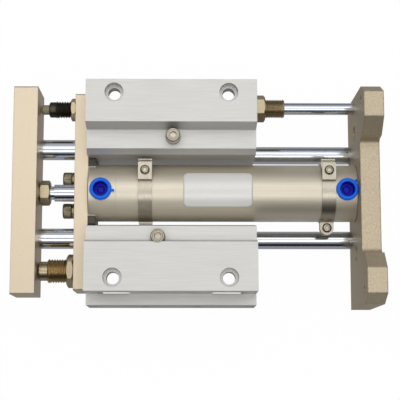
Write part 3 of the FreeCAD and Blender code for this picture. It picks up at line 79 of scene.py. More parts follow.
# %% Camera
LENS = 108.7
SENSOR = 36.0
EYE = Vector((7.8, -108.9, 679.7)) * MM
AIM = Vector((16.6, -3.9, -23.0)) * MM

camera_data = bpy.data.cameras.new("camera")
camera_data.lens = LENS
camera_data.sensor_width = SENSOR
camera_data.clip_start = 0.01
camera = bpy.data.objects.new("camera", camera_data)
forward = (AIM - EYE).normalized()
aside = forward.cross(Vector((0, 1, 0))).normalized()
upright = Matrix((aside, aside.cross(forward), -forward)).transposed()
camera.matrix_world = Matrix.Translation(EYE) @ upright.to_4x4()
scene.collection.objects.link(camera)
scene.camera = camera
print("camera distance in mm:", round((AIM - EYE).length / MM))

# %% [markdown]
# ## Floor, sky and lamps
# A catalogue picture has a pure white ground. Pouring light on the floor would also bleach the
# metal, so the floor itself shines for rays that come straight from the camera or from a mirror,
# and stays ordinary pale paint for the rest. A little of the paint is mixed back in, and that
# part keeps the soft shadow. The glow is a little over one, to make up for the share of paint.
# Mirror rays see a weaker glow, because the floor close to the metal lies in its shade, and that is
# what darkens the flanks in the picture.

# %% A helper that builds node trees


def new_tree(owner):
    """Empty node tree of a material or world, with a short way to add a node and to link two."""
    owner.use_nodes = True
    tree = owner.node_tree
    tree.nodes.clear()

    def node(kind, **inputs):
        made = tree.nodes.new(kind)
        for socket, value in inputs.items():
            made.inputs[socket.replace("_", " ")].default_value = value
        return made

    return tree, node, tree.links.new


# %% Floor
FLOOR_PAINT = (0.55, 0.55, 0.55, 1.0)
SHADOW_SHARE = 0.05
MIRRORED_GLOW = 0.36
BACKGROUND_GLOW = 1.03

floor_material = bpy.data.materials.new("pale_floor")
tree, node, link = new_tree(floor_material)
paint = node("ShaderNodeBsdfDiffuse", Color=FLOOR_PAINT)
glow = node("ShaderNodeEmission", Color=(1, 1, 1, 1))
rays = node("ShaderNodeLightPath")
mirrored = node("ShaderNodeMapRange", To_Min=BACKGROUND_GLOW, To_Max=MIRRORED_GLOW)
seen_or_mirrored = node("ShaderNodeMath")
seen_or_mirrored.operation = "MAXIMUM"
any_of = node("ShaderNodeMath")
any_of.operation = "MAXIMUM"
share = node("ShaderNodeMath")
share.operation = "MULTIPLY"
share.inputs[1].default_value = 1.0 - SHADOW_SHARE
mix = node("ShaderNodeMixShader")
output = node("ShaderNodeOutputMaterial")
link(rays.outputs["Is Glossy Ray"], mirrored.inputs["Value"])
link(mirrored.outputs[0], glow.inputs["Strength"])
link(rays.outputs["Is Camera Ray"], seen_or_mirrored.inputs[0])
link(rays.outputs["Is Glossy Ray"], seen_or_mirrored.inputs[1])
link(seen_or_mirrored.outputs[0], any_of.inputs[0])
link(rays.outputs["Is Transmission Ray"], any_of.inputs[1])
link(any_of.outputs[0], share.inputs[0])
link(share.outputs[0], mix.inputs["Fac"])
link(paint.outputs[0], mix.inputs[1])
link(glow.outputs[0], mix.inputs[2])
link(mix.outputs[0], output.inputs["Surface"])

FLOOR_HALF = 2.5
floor_z = cad_box[0][2]
floor_mesh = bpy.data.meshes.new("floor")
floor_mesh.from_pydata([(x, y, floor_z) for x, y in
                        ((-FLOOR_HALF, -FLOOR_HALF), (FLOOR_HALF, -FLOOR_HALF),
                         (FLOOR_HALF, FLOOR_HALF), (-FLOOR_HALF, FLOOR_HALF))], [], [(0, 1, 2, 3)])
floor_mesh.materials.append(floor_material)
floor = bpy.data.objects.new("floor", floor_mesh)
scene.collection.objects.link(floor)
print("floor at", round(floor_z / MM, 1), "mm")

# %% [markdown]
# The room is dark at the sides and bright above, a little towards the far side. Polished rods and
# the tube mirror it, which draws the dark lines along their sides that make them read as round
# bars. A picture of a real room could light the scene, but one ramp does the same: it runs over
# the dot product of each direction with the brightest one.

# %% Room light
ROOM_DARK = (0.035, 0.035, 0.04, 1.0)
ROOM_BRIGHT = (0.95, 0.95, 0.95, 1.0)
ROOM_STRENGTH = 0.66
BRIGHTEST = Vector((0.0, 0.26, 1.0)).normalized()
DARK_BELOW, BRIGHT_ABOVE = 0.22, 0.88

world = bpy.data.worlds.new("studio")
scene.world = world
tree, node, link = new_tree(world)
direction = node("ShaderNodeTexCoord")
facing = node("ShaderNodeVectorMath")
facing.operation = "DOT_PRODUCT"
facing.inputs[1].default_value = BRIGHTEST
ramp = node("ShaderNodeValToRGB")
ramp.color_ramp.interpolation = "EASE"
ramp.color_ramp.elements[0].position = DARK_BELOW
ramp.color_ramp.elements[0].color = ROOM_DARK
ramp.color_ramp.elements[1].position = BRIGHT_ABOVE
ramp.color_ramp.elements[1].color = ROOM_BRIGHT
sky = node("ShaderNodeBackground", Strength=ROOM_STRENGTH)
output = node("ShaderNodeOutputWorld")
link(direction.outputs["Generated"], facing.inputs[0])
link(facing.outputs["Value"], ramp.inputs[0])
link(ramp.outputs[0], sky.inputs["Color"])
link(sky.outputs[0], output.inputs["Surface"])

# %% [markdown]
# Two wide soft boxes hang above, the main one towards the far side and a narrower one towards the
# near side. They are wide, so that their mirror image in a bar is a soft band and not a stripe.

# %% Soft boxes
SOFT_BOXES = (
    ("soft_box_far", (-60, 300, 900), 1100, 520, 2.0),
    ("soft_box_near", (120, -300, 950), 900, 260, 1.5),
)


def soft_box(name, place, width, depth, watts):
    """A rectangular lamp, its place and size in mm, that points at the object's middle."""
    lamp = bpy.data.lights.new(name, "AREA")
    lamp.shape = "RECTANGLE"
    lamp.size = width * MM
    lamp.size_y = depth * MM
    lamp.energy = watts
    holder = bpy.data.objects.new(name, lamp)
    holder.location = Vector(place) * MM
    holder.rotation_euler = (AIM - holder.location).to_track_quat("-Z", "Y").to_euler()
    scene.collection.objects.link(holder)


for name, place, width, depth, watts in SOFT_BOXES:
    soft_box(name, place, width, depth, watts)
scene.view_settings.view_transform = "Standard"

# %% [markdown]
# ## Finishes
# A machined surface is never one flat colour. Each finish here mixes two close tones with a noise
# that is stretched the way the tool ran, lets the same noise vary the gloss, and presses it into
# the surface as a faint bump. The Bevel node rounds the light on sharp edges, which saves cutting
# thousands of tiny real chamfers. All patterns read Object coordinates, in metres.

# %% Colour as it is seen


def seen(red, green, blue):
    """Linear colour from screen values of 0 to 255: v below 0.04 is v / 12.92, else a 2.4 power."""
    value = np.array([red, green, blue]) / 255.0
    linear = np.where(value <= 0.04045, value / 12.92, ((value + 0.055) / 1.055) ** 2.4)
    return (*linear.tolist(), 1.0)


# %% A machined or cast surface
NOISE_ROUGHNESS = 0.6
BEVEL_SAMPLES = 4


def surface_finish(name, light, dark, grain, roughness, spread=0.08, metallic=1.0, press=0.02,
                   edge=0.25, coat=0.0, detail=4.0, shine=0.5):
    """Two tones mixed by a noise whose cells per mm along X, Y and Z are given by grain.

    The noise also moves the roughness by spread either way and sinks the surface by press mm.
    """
    material = bpy.data.materials.new(name)
    tree, node, link = new_tree(material)
    place = node("ShaderNodeTexCoord")
    stretch = node("ShaderNodeMapping", Scale=[cells / MM for cells in grain])
    noise = node("ShaderNodeTexNoise", Scale=1.0, Detail=detail, Roughness=NOISE_ROUGHNESS)
    tone = node("ShaderNodeMix")
    tone.data_type = "RGBA"
    tone.inputs[6].default_value = light
    tone.inputs[7].default_value = dark
    gloss = node("ShaderNodeMapRange", To_Min=roughness - spread, To_Max=roughness + spread)
    rounding = node("ShaderNodeBevel", Radius=edge * MM)
    rounding.samples = BEVEL_SAMPLES
    bump = node("ShaderNodeBump", Strength=1.0, Distance=press * MM)
    shader = node("ShaderNodeBsdfPrincipled", Metallic=metallic)
    shader.inputs["Coat Weight"].default_value = coat
    shader.inputs["Specular IOR Level"].default_value = shine
    output = node("ShaderNodeOutputMaterial")
    link(place.outputs["Object"], stretch.inputs["Vector"])
    link(stretch.outputs[0], noise.inputs["Vector"])
    link(noise.outputs[0], tone.inputs[0])
    link(noise.outputs[0], gloss.inputs["Value"])
    link(noise.outputs[0], bump.inputs["Height"])
    link(rounding.outputs[0], bump.inputs["Normal"])
    link(tone.outputs[2], shader.inputs["Base Color"])
    link(gloss.outputs[0], shader.inputs["Roughness"])
    link(bump.outputs[0], shader.inputs["Normal"])
    link(shader.outputs[0], output.inputs["Surface"])
    return material


# %% [markdown]
# ### Aluminium
# The guide bodies are extruded bar, milled and clear anodised: pale, dull, with fine lines along
# the stroke. The tube is drawn aluminium with a warmer tone. The rear plate is cast, so its skin is
# grainy and uneven in colour.

# %% Aluminium finishes
anodised = surface_finish("anodised_bar", seen(226, 225, 221), seen(206, 205, 201),
                          (0.05, 1.6, 1.6), 0.46, metallic=0.55, press=0.004)
DRAWN = dict(light=seen(232, 224, 207), dark=seen(210, 200, 180), grain=(0.03, 2.5, 2.5),
             roughness=0.42, metallic=0.65, press=0.003)
drawn_tube = surface_finish("drawn_tube", **DRAWN)
# The rod cover's finish: the drawn tube skin, with painted shade added on its ears below.
cover_skin_with_painted_shade = surface_finish("cover_skin_with_painted_shade", **DRAWN)
cast_skin = surface_finish("cast_skin", seen(224, 211, 186), seen(176, 160, 130),
                           (0.9, 0.9, 0.9), 0.50, metallic=0.7, press=0.10, edge=1.1, detail=8.0)

# %% [markdown]
# The rod cover has the tube's skin on its round part. Its ears lie deep between the guide bodies,
# in their shade, so a mask on the distance from the tube's axis paints that shade into their
# colour.

# %% Painted shade on the rod cover's ears
# Painted shade: from EARS_FROM to EARS_TO mm off the tube's axis, the ears turn to this dark tone.
EARS_FROM = 16.85
EARS_TO = 17.0
TUBE_AXIS = -23.0
EAR_PAINTED_SHADE = seen(74, 70, 62)

tree = cover_skin_with_painted_shade.node_tree
shader = tree.nodes["Principled BSDF"]
skin = shader.inputs["Base Color"].links[0].from_socket
spot = tree.nodes.new("ShaderNodeTexCoord")
flat = tree.nodes.new("ShaderNodeVectorMath")
flat.operation = "MULTIPLY"
flat.inputs[1].default_value = (0, 1, 1)
off_axis = tree.nodes.new("ShaderNodeVectorMath")
off_axis.operation = "DISTANCE"
off_axis.inputs[1].default_value = (0, 0, TUBE_AXIS * MM)
ear_shade_mask = tree.nodes.new("ShaderNodeMapRange")
ear_shade_mask.inputs["From Min"].default_value = EARS_FROM * MM
ear_shade_mask.inputs["From Max"].default_value = EARS_TO * MM
# Painted shade: beyond the tube's radius, the ears' colour is mixed to the dark tone.
ear_shade_mix = tree.nodes.new("ShaderNodeMix")
ear_shade_mix.data_type = "RGBA"
ear_shade_mix.inputs[7].default_value = EAR_PAINTED_SHADE
tree.links.new(spot.outputs["Object"], flat.inputs[0])
tree.links.new(flat.outputs[0], off_axis.inputs[0])
tree.links.new(off_axis.outputs["Value"], ear_shade_mask.inputs["Value"])
tree.links.new(ear_shade_mask.outputs[0], ear_shade_mix.inputs[0])
tree.links.new(skin, ear_shade_mix.inputs[6])
tree.links.new(ear_shade_mix.outputs[2], shader.inputs["Base Color"])

# %% [markdown]
# ### Steel
# The front plate and the flange are nickel plated, which gives a warm champagne tone with a fine
# speckle. Rods are hard chromed and ground round, so their fine lines run round the bar and not
# along it: the noise has many cells along X and few across.

# %% Steel finishes
nickel_plate = surface_finish("nickel_plate", seen(226, 212, 188), seen(204, 189, 163),
                              (2.2, 2.2, 2.2), 0.40, metallic=0.75, press=0.012, edge=0.6)
hard_chrome = surface_finish("hard_chrome", seen(222, 226, 234), seen(204, 209, 220),
                             (9.0, 0.6, 0.6), 0.12, spread=0.03, press=0.001, edge=0.3)
nickel_small = surface_finish("nickel_small", seen(190, 176, 148), seen(156, 143, 116),
                              (1.4, 1.4, 1.4), 0.30, press=0.008)
plug_steel = surface_finish("plug_steel", seen(196, 188, 172), seen(160, 152, 136),
                            (1.4, 1.4, 1.4), 0.26, press=0.004, edge=0.1)
screw_steel = surface_finish("screw_steel", seen(160, 150, 126), seen(126, 116, 94),
                             (1.6, 1.6, 1.6), 0.34, press=0.008, edge=0.15)
band_sheet = surface_finish("band_sheet", seen(206, 199, 184), seen(158, 150, 134),
                            (2.8, 0.3, 0.3), 0.34, press=0.003, edge=0.15)
black_oxide = surface_finish("black_oxide", seen(92, 87, 78), seen(56, 53, 48),
                             (1.8, 1.8, 1.8), 0.34, metallic=0.9, press=0.006)
yellow_zinc = surface_finish("yellow_zinc", seen(206, 184, 142), seen(156, 134, 96),
                             (1.2, 1.2, 1.2), 0.30, press=0.006)
sintered = surface_finish("sintered_bronze", seen(176, 140, 88), seen(146, 112, 66),
                          (3.0, 3.0, 3.0), 0.42, press=0.01)

# %% [markdown]
# ### Plastic, rubber and foil
# The port caps are soft plastic in a strong blue, and little light gets down into their cups, where
# the colour turns navy. That shade is painted as a second, navy finish on the faces inside the cup.
# The label is a blank silver foil.

# %% Soft and printed finishes
cap_blue = surface_finish("cap_blue", seen(6, 122, 255), seen(4, 106, 255), (0.5, 0.5, 0.5), 0.34,
                          spread=0.05, metallic=0.0, press=0.01, shine=0.25)
# Painted shade: this navy finish stands for the shade down in the caps' cups.
cap_painted_shade = surface_finish("cap_painted_shade", seen(4, 16, 190), seen(3, 10, 165), (0.5, 0.5, 0.5), 0.40,
                          spread=0.05, metallic=0.0, press=0.01, shine=0.2)
black_rubber = surface_finish("black_rubber", seen(40, 40, 42), seen(28, 28, 30), (1.5, 1.5, 1.5),
                              0.70, metallic=0.0, press=0.02)
pale_plastic = surface_finish("pale_plastic", seen(178, 165, 140), seen(152, 139, 115),
                              (1.0, 1.0, 1.0), 0.45, metallic=0.0, press=0.004)
label_foil = surface_finish("label_foil", seen(246, 245, 241), seen(234, 232, 227),
                            (0.4, 3.0, 3.0), 0.34, metallic=0.15, press=0.002, edge=0.1)
ferrite = surface_finish("ferrite", seen(60, 58, 56), seen(44, 42, 40), (1.0, 1.0, 1.0), 0.6,
                         metallic=0.2)
print(len(bpy.data.materials), "materials so far")

# %% [markdown]
# ## Finishes for the solids that stay
# Most solids have their real shape already. Each one only gets its finish, by the name of the
# piece.

# %% Finish of each solid
FINISHES = {
    anodised: ("guide_body_right", "guide_body_left", "side_rail"),
    nickel_plate: ("front_flange", "front_plate"),
    drawn_tube: ("cylinder_tube", "piston"),
    cover_skin_with_painted_shade: ("rod_cover",),
    cast_skin: ("rear_plate",),
    hard_chrome: ("piston_rod", "guide_rod_right", "guide_rod_left", "stay_rod_right",
                  "stay_rod_left", "slim_rod"),
    nickel_small: ("body_screws", "rod_washer", "rod_nut", "small_damper_nut", "large_damper_nut",
                   "gland", "large_damper_plunger"),
    plug_steel: ("grease_plugs", "band_screws"),
    screw_steel: ("cover_screws", "cover_washers"),
    band_sheet: ("switch_band_front", "switch_band_rear"),
    black_oxide: ("guide_rod_screws", "stay_screws", "head_screws", "small_damper_sleeve",
                  "rail_screws"),
    yellow_zinc: ("large_damper_sleeve",),
    sintered: ("slide_bush_right", "slide_bush_left", "rod_bush"),
    cap_blue: ("port_cap_front", "port_cap_rear"),
    black_rubber: ("rod_wiper_right", "rod_wiper_left", "rod_seal", "tube_gasket", "front_bumper",
                   "rear_bumper", "piston_seal"),
    pale_plastic: ("small_damper_plunger", "wear_ring"),
    label_foil: ("label_sheet",),
    ferrite: ("piston_magnet",),
}

finished = set()
for material, names in FINISHES.items():
    for name in names:
        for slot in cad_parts[name].material_slots:
            slot.material = material
        finished.add(name)
print("solids without a finish:", sorted(set(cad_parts) - finished))

# %% [markdown]
# ## One surface for nuts, screws, threads and sleeves
# A nut, a screw head, a threaded sleeve and a gland are all turned about a line. Their surface is a
# grid: along the line run the rows, round it run the columns, and the radius is worked out for
# every point at once. A hexagon has the radius `flats / 2 / cos(angle from the nearest flat)`, a
# chamfer cuts that down to a cone, and a thread or a knurl takes a triangle wave off the radius,
# whose phase turns once per pitch or many times per turn. The smaller of hexagon and round bar
# wins, so one formula makes them all, their hexagon sockets too.

# %% From grids of points to a piece
WELD = 1e-7


def grid_faces(rows, columns, first, wrap_rows, wrap_columns):
    """Four corners of every cell of a grid whose points are numbered row by row from first."""
    index = first + np.arange(rows * columns).reshape(rows, columns)
    if wrap_rows:
        index = np.vstack([index, index[:1]])
    if wrap_columns:
        index = np.hstack([index, index[:, :1]])
    corners = (index[:-1, :-1], index[:-1, 1:], index[1:, 1:], index[1:, :-1])
    return np.stack(corners, axis=-1).reshape(-1, 4)


def piece_from_grids(name, grids, wrap_rows=False, wrap_columns=True, crease=28):
    """One mesh from grids of points[row, column]; rows or columns may join up with the first."""
    points, faces, first = [], [], 0
    for grid in grids:
        rows, columns = grid.shape[:2]
        points.append(grid.reshape(-1, 3))
        faces.append(grid_faces(rows, columns, first, wrap_rows, wrap_columns))
        first += rows * columns
    mesh = bpy.data.meshes.new(name)
    mesh.from_pydata(np.vstack(points).tolist(), [], np.vstack(faces).tolist())
    shell = bmesh.new()
    shell.from_mesh(mesh)
    bmesh.ops.remove_doubles(shell, verts=shell.verts, dist=WELD)
    bmesh.ops.recalc_face_normals(shell, faces=shell.faces)
    shell.to_mesh(mesh)
    shell.free()
    mesh.shade_smooth()
    mesh.set_sharp_from_angle(angle=math.radians(crease))
    piece = bpy.data.objects.new(name, mesh)
    scene.collection.objects.link(piece)
    return piece


def dress(piece, material, body, slot, *replaced):
    """Gives a piece its finish, the body that it moves with and the solids that it stands for."""
    piece.data.materials.append(material)
    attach(piece, body)
    if replaced:
        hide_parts(*replaced)
    print(piece.name, len(piece.data.polygons), "faces")
    return piece


# %% Rows of a turned piece
NO_FLATS = 1e3
COLUMNS = 72
KNURL_COLUMNS = 144
KNURLS = 36
ROWS_PER_PITCH = 8
FADE_PITCHES = 0.6
FACE_SHARE = 0.475
CONE_DEGREES = 30


def bar_rows(along, radius, flats=NO_FLATS, thread=0.0, knurl=0.0):
    """Rows as (along, radius, flats, thread depth, knurl depth), all in mm."""
    columns = np.broadcast_arrays(np.atleast_1d(along).astype(float), radius, flats, thread, knurl)
    return np.stack(columns, axis=1)


def thread_rows(start, stop, radius, pitch, depth):
    """A threaded stretch: eight rows to a pitch, with the groove fading out at both ends."""
    count = max(ROWS_PER_PITCH, int(round(ROWS_PER_PITCH * abs(stop - start) / pitch))) + 1
    along = np.linspace(start, stop, count)
    fade = np.clip(np.minimum(abs(along - start), abs(stop - along)) / (FADE_PITCHES * pitch),
                   0, 1)
    return bar_rows(along, radius, NO_FLATS, depth * fade)


def hexagon_rows(start, stop, flats):
    """A hexagonal stretch whose corners are turned down at both ends to a 30 degree cone."""
    corner = flats / math.sqrt(3)
    face = FACE_SHARE * flats
    run = (corner - face) * math.tan(math.radians(CONE_DEGREES))
    share = np.linspace(0, 1, 6)
    way = math.copysign(1.0, stop - start)
    rise = bar_rows(start + way * run * share, face + (corner - face) * share, flats)
    fall = bar_rows(stop - way * run * share[::-1], face + (corner - face) * share[::-1], flats)
    return np.vstack([rise, fall])


# %% Points of a turned piece


def turned_grid(rows, middle, upright=False, pitch=1.0, columns=COLUMNS):
    """Points about a line through middle, along X or upright, for rows from bar_rows.

    The radius is min(bar, hexagon) less the triangle waves of the thread and of the knurl.
    """
    turn = np.arange(columns) / columns
    off_flat = (turn * 360 + 30) % 60 - 30
    along, radius, flats, thread, knurl = (rows[:, [column]] for column in range(5))
    hexagon = flats / 2 / np.cos(np.radians(off_flat))
    thread_wave = abs(2 * ((along / pitch - turn) % 1) - 1)
    knurl_wave = abs(2 * ((turn * KNURLS) % 1) - 1)
    reach = np.minimum(radius, hexagon) - thread * thread_wave - knurl * knurl_wave
    angle = 2 * np.pi * turn
    aside, across = reach * np.sin(angle), reach * np.cos(angle)
    along = along + 0 * reach
    if upright:
        places = [middle[0] + across, middle[1] + aside, along]
    else:
        places = [along, middle[1] + aside, middle[2] + across]
    return np.stack(places, axis=-1) * MM


def ends_of(node):
    """Lowest and highest corner and the centre of a solid, in mm."""
    low, high = (np.array(corner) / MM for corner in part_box(node))
    return low, high, (low + high) / 2


# %% [markdown]
# ## Nuts
# A nut is the hexagon with a hole. The real ones have both ends chamfered, so that only the six
# flats keep their full width in the middle. The hole is left at the thread's size, because the
# sleeve or the rod fills it.

# %% Nuts
NUTS = (
    ("rod_nut_shape", "rod_nut", "carriage", 13.0, 8.0),
    ("small_lock_nut", "small_damper_nut", "base", 12.0, 10.0),
    ("large_lock_nut", "large_damper_nut", "base", 17.0, 14.0),
)

for name, solid, body, flats, hole in NUTS:
    low, high, middle = ends_of(solid)
    rows = np.vstack([bar_rows(low[0], hole / 2), hexagon_rows(low[0], high[0], flats),
                      bar_rows(high[0], hole / 2)])
    nut = piece_from_grids(name, [turned_grid(rows, middle)], wrap_rows=True)
    dress(nut, nickel_small, body, "nickel_steel", solid)

# %% [markdown]
# ## Dampers and gland
# The sleeves of the two dampers are threaded from end to end, so that they can be set in the
# flange. The small one has a smooth collar at its mouth. The gland has a hexagon at the guide
# body and a threaded neck behind it, which grips the slim rod.

# %% Damper sleeves
THREAD_SINK = 0.62
DAMPER_PITCH = 1.5
WELL_SEEN = 6.0
NOSE_CHAMFER = 0.6
STEP = 0.01


def sleeve(name, solid, thread, hole, pitch, collar, collar_length, material, slot):
    """A sleeve from the bottom of its well, out over its nose and along its thread to its end."""
    low, high, middle = ends_of(solid)
    start, stop = low[0], high[0]
    nose = collar or thread
    rows = [bar_rows([start + WELL_SEEN, start + WELL_SEEN], [0.0, hole / 2]),
            bar_rows([start, start, start + NOSE_CHAMFER],
                     [hole / 2, nose / 2 - NOSE_CHAMFER, nose / 2])]
    if collar:
        rows.append(bar_rows([start + collar_length, start + collar_length + STEP],
                             [collar / 2, thread / 2 - NOSE_CHAMFER]))
    rows.append(thread_rows(start + collar_length + NOSE_CHAMFER, stop - NOSE_CHAMFER, thread / 2,
                            pitch, THREAD_SINK * pitch))
    rows.append(bar_rows([stop, stop], [thread / 2 - NOSE_CHAMFER, 0.0]))
    shell = piece_from_grids(name, [turned_grid(np.vstack(rows), middle, pitch=pitch)])
    return dress(shell, material, "base", slot, solid)


sleeve("small_damper_thread", "small_damper_sleeve", thread=10.0, hole=5.9, pitch=DAMPER_PITCH,
       collar=9.2, collar_length=3.8, material=black_oxide, slot="black_steel")
sleeve("large_damper_thread", "large_damper_sleeve", thread=14.0, hole=11.3, pitch=DAMPER_PITCH,
       collar=None, collar_length=0.0, material=yellow_zinc, slot="bronze_steel")

# %% Gland
GLAND_FLATS, GLAND_THREAD, GLAND_HOLE, GLAND_PITCH = 14.2, 11.0, 7.0, 1.0
GLAND_SHANK, GLAND_HEXAGON, GLAND_RELIEF = 5.0, 6.7, 0.2

low, high, middle = ends_of("gland")
start, stop = low[0], high[0]
hexagon_start = start + GLAND_SHANK
hexagon_stop = hexagon_start + GLAND_HEXAGON
rows = np.vstack([
    bar_rows([start, start], [GLAND_HOLE / 2, GLAND_THREAD / 2]),
    bar_rows(hexagon_start, GLAND_THREAD / 2),
    hexagon_rows(hexagon_start, hexagon_stop, GLAND_FLATS),
    bar_rows(hexagon_stop, GLAND_THREAD / 2),
    thread_rows(hexagon_stop + GLAND_RELIEF, stop - NOSE_CHAMFER, GLAND_THREAD / 2, GLAND_PITCH,
                THREAD_SINK * GLAND_PITCH),
    bar_rows([stop, stop], [GLAND_THREAD / 2 - NOSE_CHAMFER, GLAND_HOLE / 2])])
gland = piece_from_grids("gland_shape", [turned_grid(rows, middle, pitch=GLAND_PITCH)],
                         wrap_rows=True)
dress(gland, nickel_small, "base", "nickel_steel", "gland")

# %% [markdown]
# ## Screws of the rod cover
# Two socket screws with a lock washer and a flat washer each hold the rod cover to the flange. The
# heads are knurled for the fingers. Head and washers are one turned profile, so that the grooves
# between them come from the profile and not from separate rings.

# %% Rod cover screws
HEAD_R, HEAD_LONG, SOCKET_FLATS, SOCKET_DEEP = 4.5, 5.4, 4.5, 2.5
LOCK_LONG, FLAT_LONG, FLAT_R = 1.6, 1.2, 4.9
HEAD_ROUND, KNURL_DEEP, WASHER_GROOVE = 0.9, 0.22, 0.35
SOCKET_LIP_WIDE, SOCKET_LIP_DEEP = 0.5, 0.3
KNURL_FROM_FRONT, KNURL_FROM_BACK, HEAD_TAPER = 0.4, 0.5, 0.3
LOCK_EDGE, FLAT_EDGE = 0.2, 0.1


def cover_screw_rows(front):
    """From the middle of the socket out over the rounded, knurled head to the flat washer."""
    back = front + HEAD_LONG
    bend = np.radians(np.linspace(0, 90, 6))
    return np.vstack([
        bar_rows(front + SOCKET_DEEP, [0.0]), bar_rows(front + SOCKET_DEEP, HEAD_R, SOCKET_FLATS),
        bar_rows(front + SOCKET_LIP_DEEP, HEAD_R, SOCKET_FLATS),
        bar_rows(front, SOCKET_FLATS / 2 + SOCKET_LIP_WIDE),
        bar_rows(front + HEAD_ROUND * (1 - np.cos(bend)), HEAD_R - HEAD_ROUND * (1 - np.sin(bend))),
        bar_rows([front + HEAD_ROUND + KNURL_FROM_FRONT, back - KNURL_FROM_BACK], HEAD_R,
                 knurl=KNURL_DEEP),
        bar_rows([back - HEAD_TAPER, back], [HEAD_R, HEAD_R - WASHER_GROOVE]),
        bar_rows([back + LOCK_EDGE, back + LOCK_LONG - LOCK_EDGE], HEAD_R),
        bar_rows(back + LOCK_LONG, HEAD_R - WASHER_GROOVE),
        bar_rows(back + LOCK_LONG, FLAT_R - FLAT_EDGE),
        bar_rows([back + LOCK_LONG + FLAT_EDGE, back + LOCK_LONG + FLAT_LONG], FLAT_R),
        bar_rows(back + LOCK_LONG + FLAT_LONG, 0.0)])


low, high, middle = ends_of("cover_screws")
grids = [turned_grid(cover_screw_rows(low[0]), (0, side, middle[2]), columns=KNURL_COLUMNS)
         for side in (high[1] - HEAD_R, low[1] + HEAD_R)]
dress(piece_from_grids("cover_screw_set", grids), screw_steel, "base", "nickel_steel",
      "cover_screws", "cover_washers")

# %% [markdown]
# ## Grease plugs
# A plug closes the grease hole of each guide bore. Its head is turned in rings, with a hexagon
# socket in the middle. The rings are what makes it look like a real plug from above, so they are
# real grooves in the profile and not paint.

# %% Plug heads
PLUG_R, PLUG_SIDE, PLUG_FLATS, PLUG_DEEP, PLUG_LIP = 4.1, 8.0, 3.4, 2.2, 0.3


def plug_rows(top):
    """From the middle of the socket out over two rings and down the side of the head."""
    rings = [(1.95, -0.25), (2.15, 0.0), (2.65, 0.0), (2.85, -0.55), (3.05, -0.55), (3.2, -0.1),
             (3.55, -0.1), (3.75, -0.3), (PLUG_R, -0.9), (PLUG_R, -PLUG_SIDE), (0.0, -PLUG_SIDE)]
    return np.vstack([bar_rows(top - PLUG_DEEP, [0.0]),
                      bar_rows(top - PLUG_DEEP, PLUG_R, PLUG_FLATS),
                      bar_rows(top - PLUG_LIP, PLUG_R, PLUG_FLATS)]
                     + [bar_rows(top + drop, radius) for radius, drop in rings])


low, high = ends_of("grease_plugs")[:2]
places = ((high[0] - PLUG_R, high[1] - PLUG_R), (low[0] + PLUG_R, low[1] + PLUG_R))
dress(piece_from_grids("plug_heads", [turned_grid(plug_rows(high[2]), place, upright=True)
                                      for place in places]),
      plug_steel, "base", "nickel_steel", "grease_plugs")

# %% [markdown]
# ## Screws of the switch bands
# Each band has a small screw through its raised tab, and the rear band has one more through its
# ears. The head is a low dome with a socket, and the nut sits under the sheet.

# %% Band screws
BAND_HEAD_R, BAND_HEAD_RISE, BAND_STEM_R, BAND_NUT = 2.75, 1.8, 1.5, 5.5
BAND_SHEET, TAB_NUT, EAR_NUT, EAR_GAP = 0.8, 1.4, 2.4, 3.0
TAB_SCREW_Y, EAR_END_R = 10.9, 4.0
BAND_SOCKET_FLATS, BAND_SOCKET_DEEP, BAND_SOCKET_LIP = 2.2, 1.0, 0.2
DOME_START_R, DOME_DROP = 1.4, 0.9


def band_screw_rows(seat, grip, nut_height):
    """From the socket over the domed head, down the stem and over the nut, top to bottom."""
    dome = np.linspace(0, 1, 7)
    top, under = seat + BAND_HEAD_RISE, seat - grip
    return np.vstack([
        bar_rows(top - BAND_SOCKET_DEEP, [0.0]),
        bar_rows(top - BAND_SOCKET_DEEP, BAND_HEAD_R, BAND_SOCKET_FLATS),
        bar_rows(top - BAND_SOCKET_LIP, BAND_HEAD_R, BAND_SOCKET_FLATS),
        bar_rows(top - DOME_DROP * dome ** 2, DOME_START_R + (BAND_HEAD_R - DOME_START_R) * dome),
        bar_rows([seat, seat, under], [BAND_HEAD_R, BAND_STEM_R, BAND_STEM_R]),
        hexagon_rows(under, under - nut_height, BAND_NUT),
        bar_rows(under - nut_height, 0.0)])


grids = []
for band in ("switch_band_front", "switch_band_rear"):
    low, high, middle = ends_of(band)
    place = (middle[0], TAB_SCREW_Y)
    grids.append(turned_grid(band_screw_rows(high[2], BAND_SHEET, TAB_NUT), place, upright=True))
ear_place = (middle[0], low[1] + EAR_END_R)
ear_seat = ends_of("cylinder_tube")[2][2] + EAR_GAP / 2 + BAND_SHEET
grids.append(turned_grid(band_screw_rows(ear_seat, EAR_GAP + 2 * BAND_SHEET, EAR_NUT), ear_place,
                         upright=True))
dress(piece_from_grids("band_screw_set", grids), plug_steel, "base", "nickel_steel", "band_screws")

# %% [markdown]
# ## Port caps
# For transport, a soft plug closes each air port. It is a round cup with a rolled lip, whose
# underside sits on the round tube. Turning a profile gives the cup, and wherever the profile says
# "seat" the height is taken from the tube instead: `sqrt(R² - y²)` above the tube's axis.

# %% Cap profile
TUBE_RADIUS = 16.7
CAP_RADIUS, CAP_RIM, CAP_RECESS, CAP_FLOOR, CAP_PLUG = 6.4, 2.2, 4.1, 3.3, 4.35
CAP_SINK = 8.0
LIP = 0.9
CAP_BOSS = ((0.0, 0.5), (1.6, 0.5), (1.9, 0.4), (2.3, 0.0))
CAP_FILLET, CAP_LEAD_WIDE, CAP_LEAD = 0.3, 0.5, 0.5
CAP_COLUMNS, TAB_COLUMNS = 64, 24
INSIDE_MARGIN = 0.1


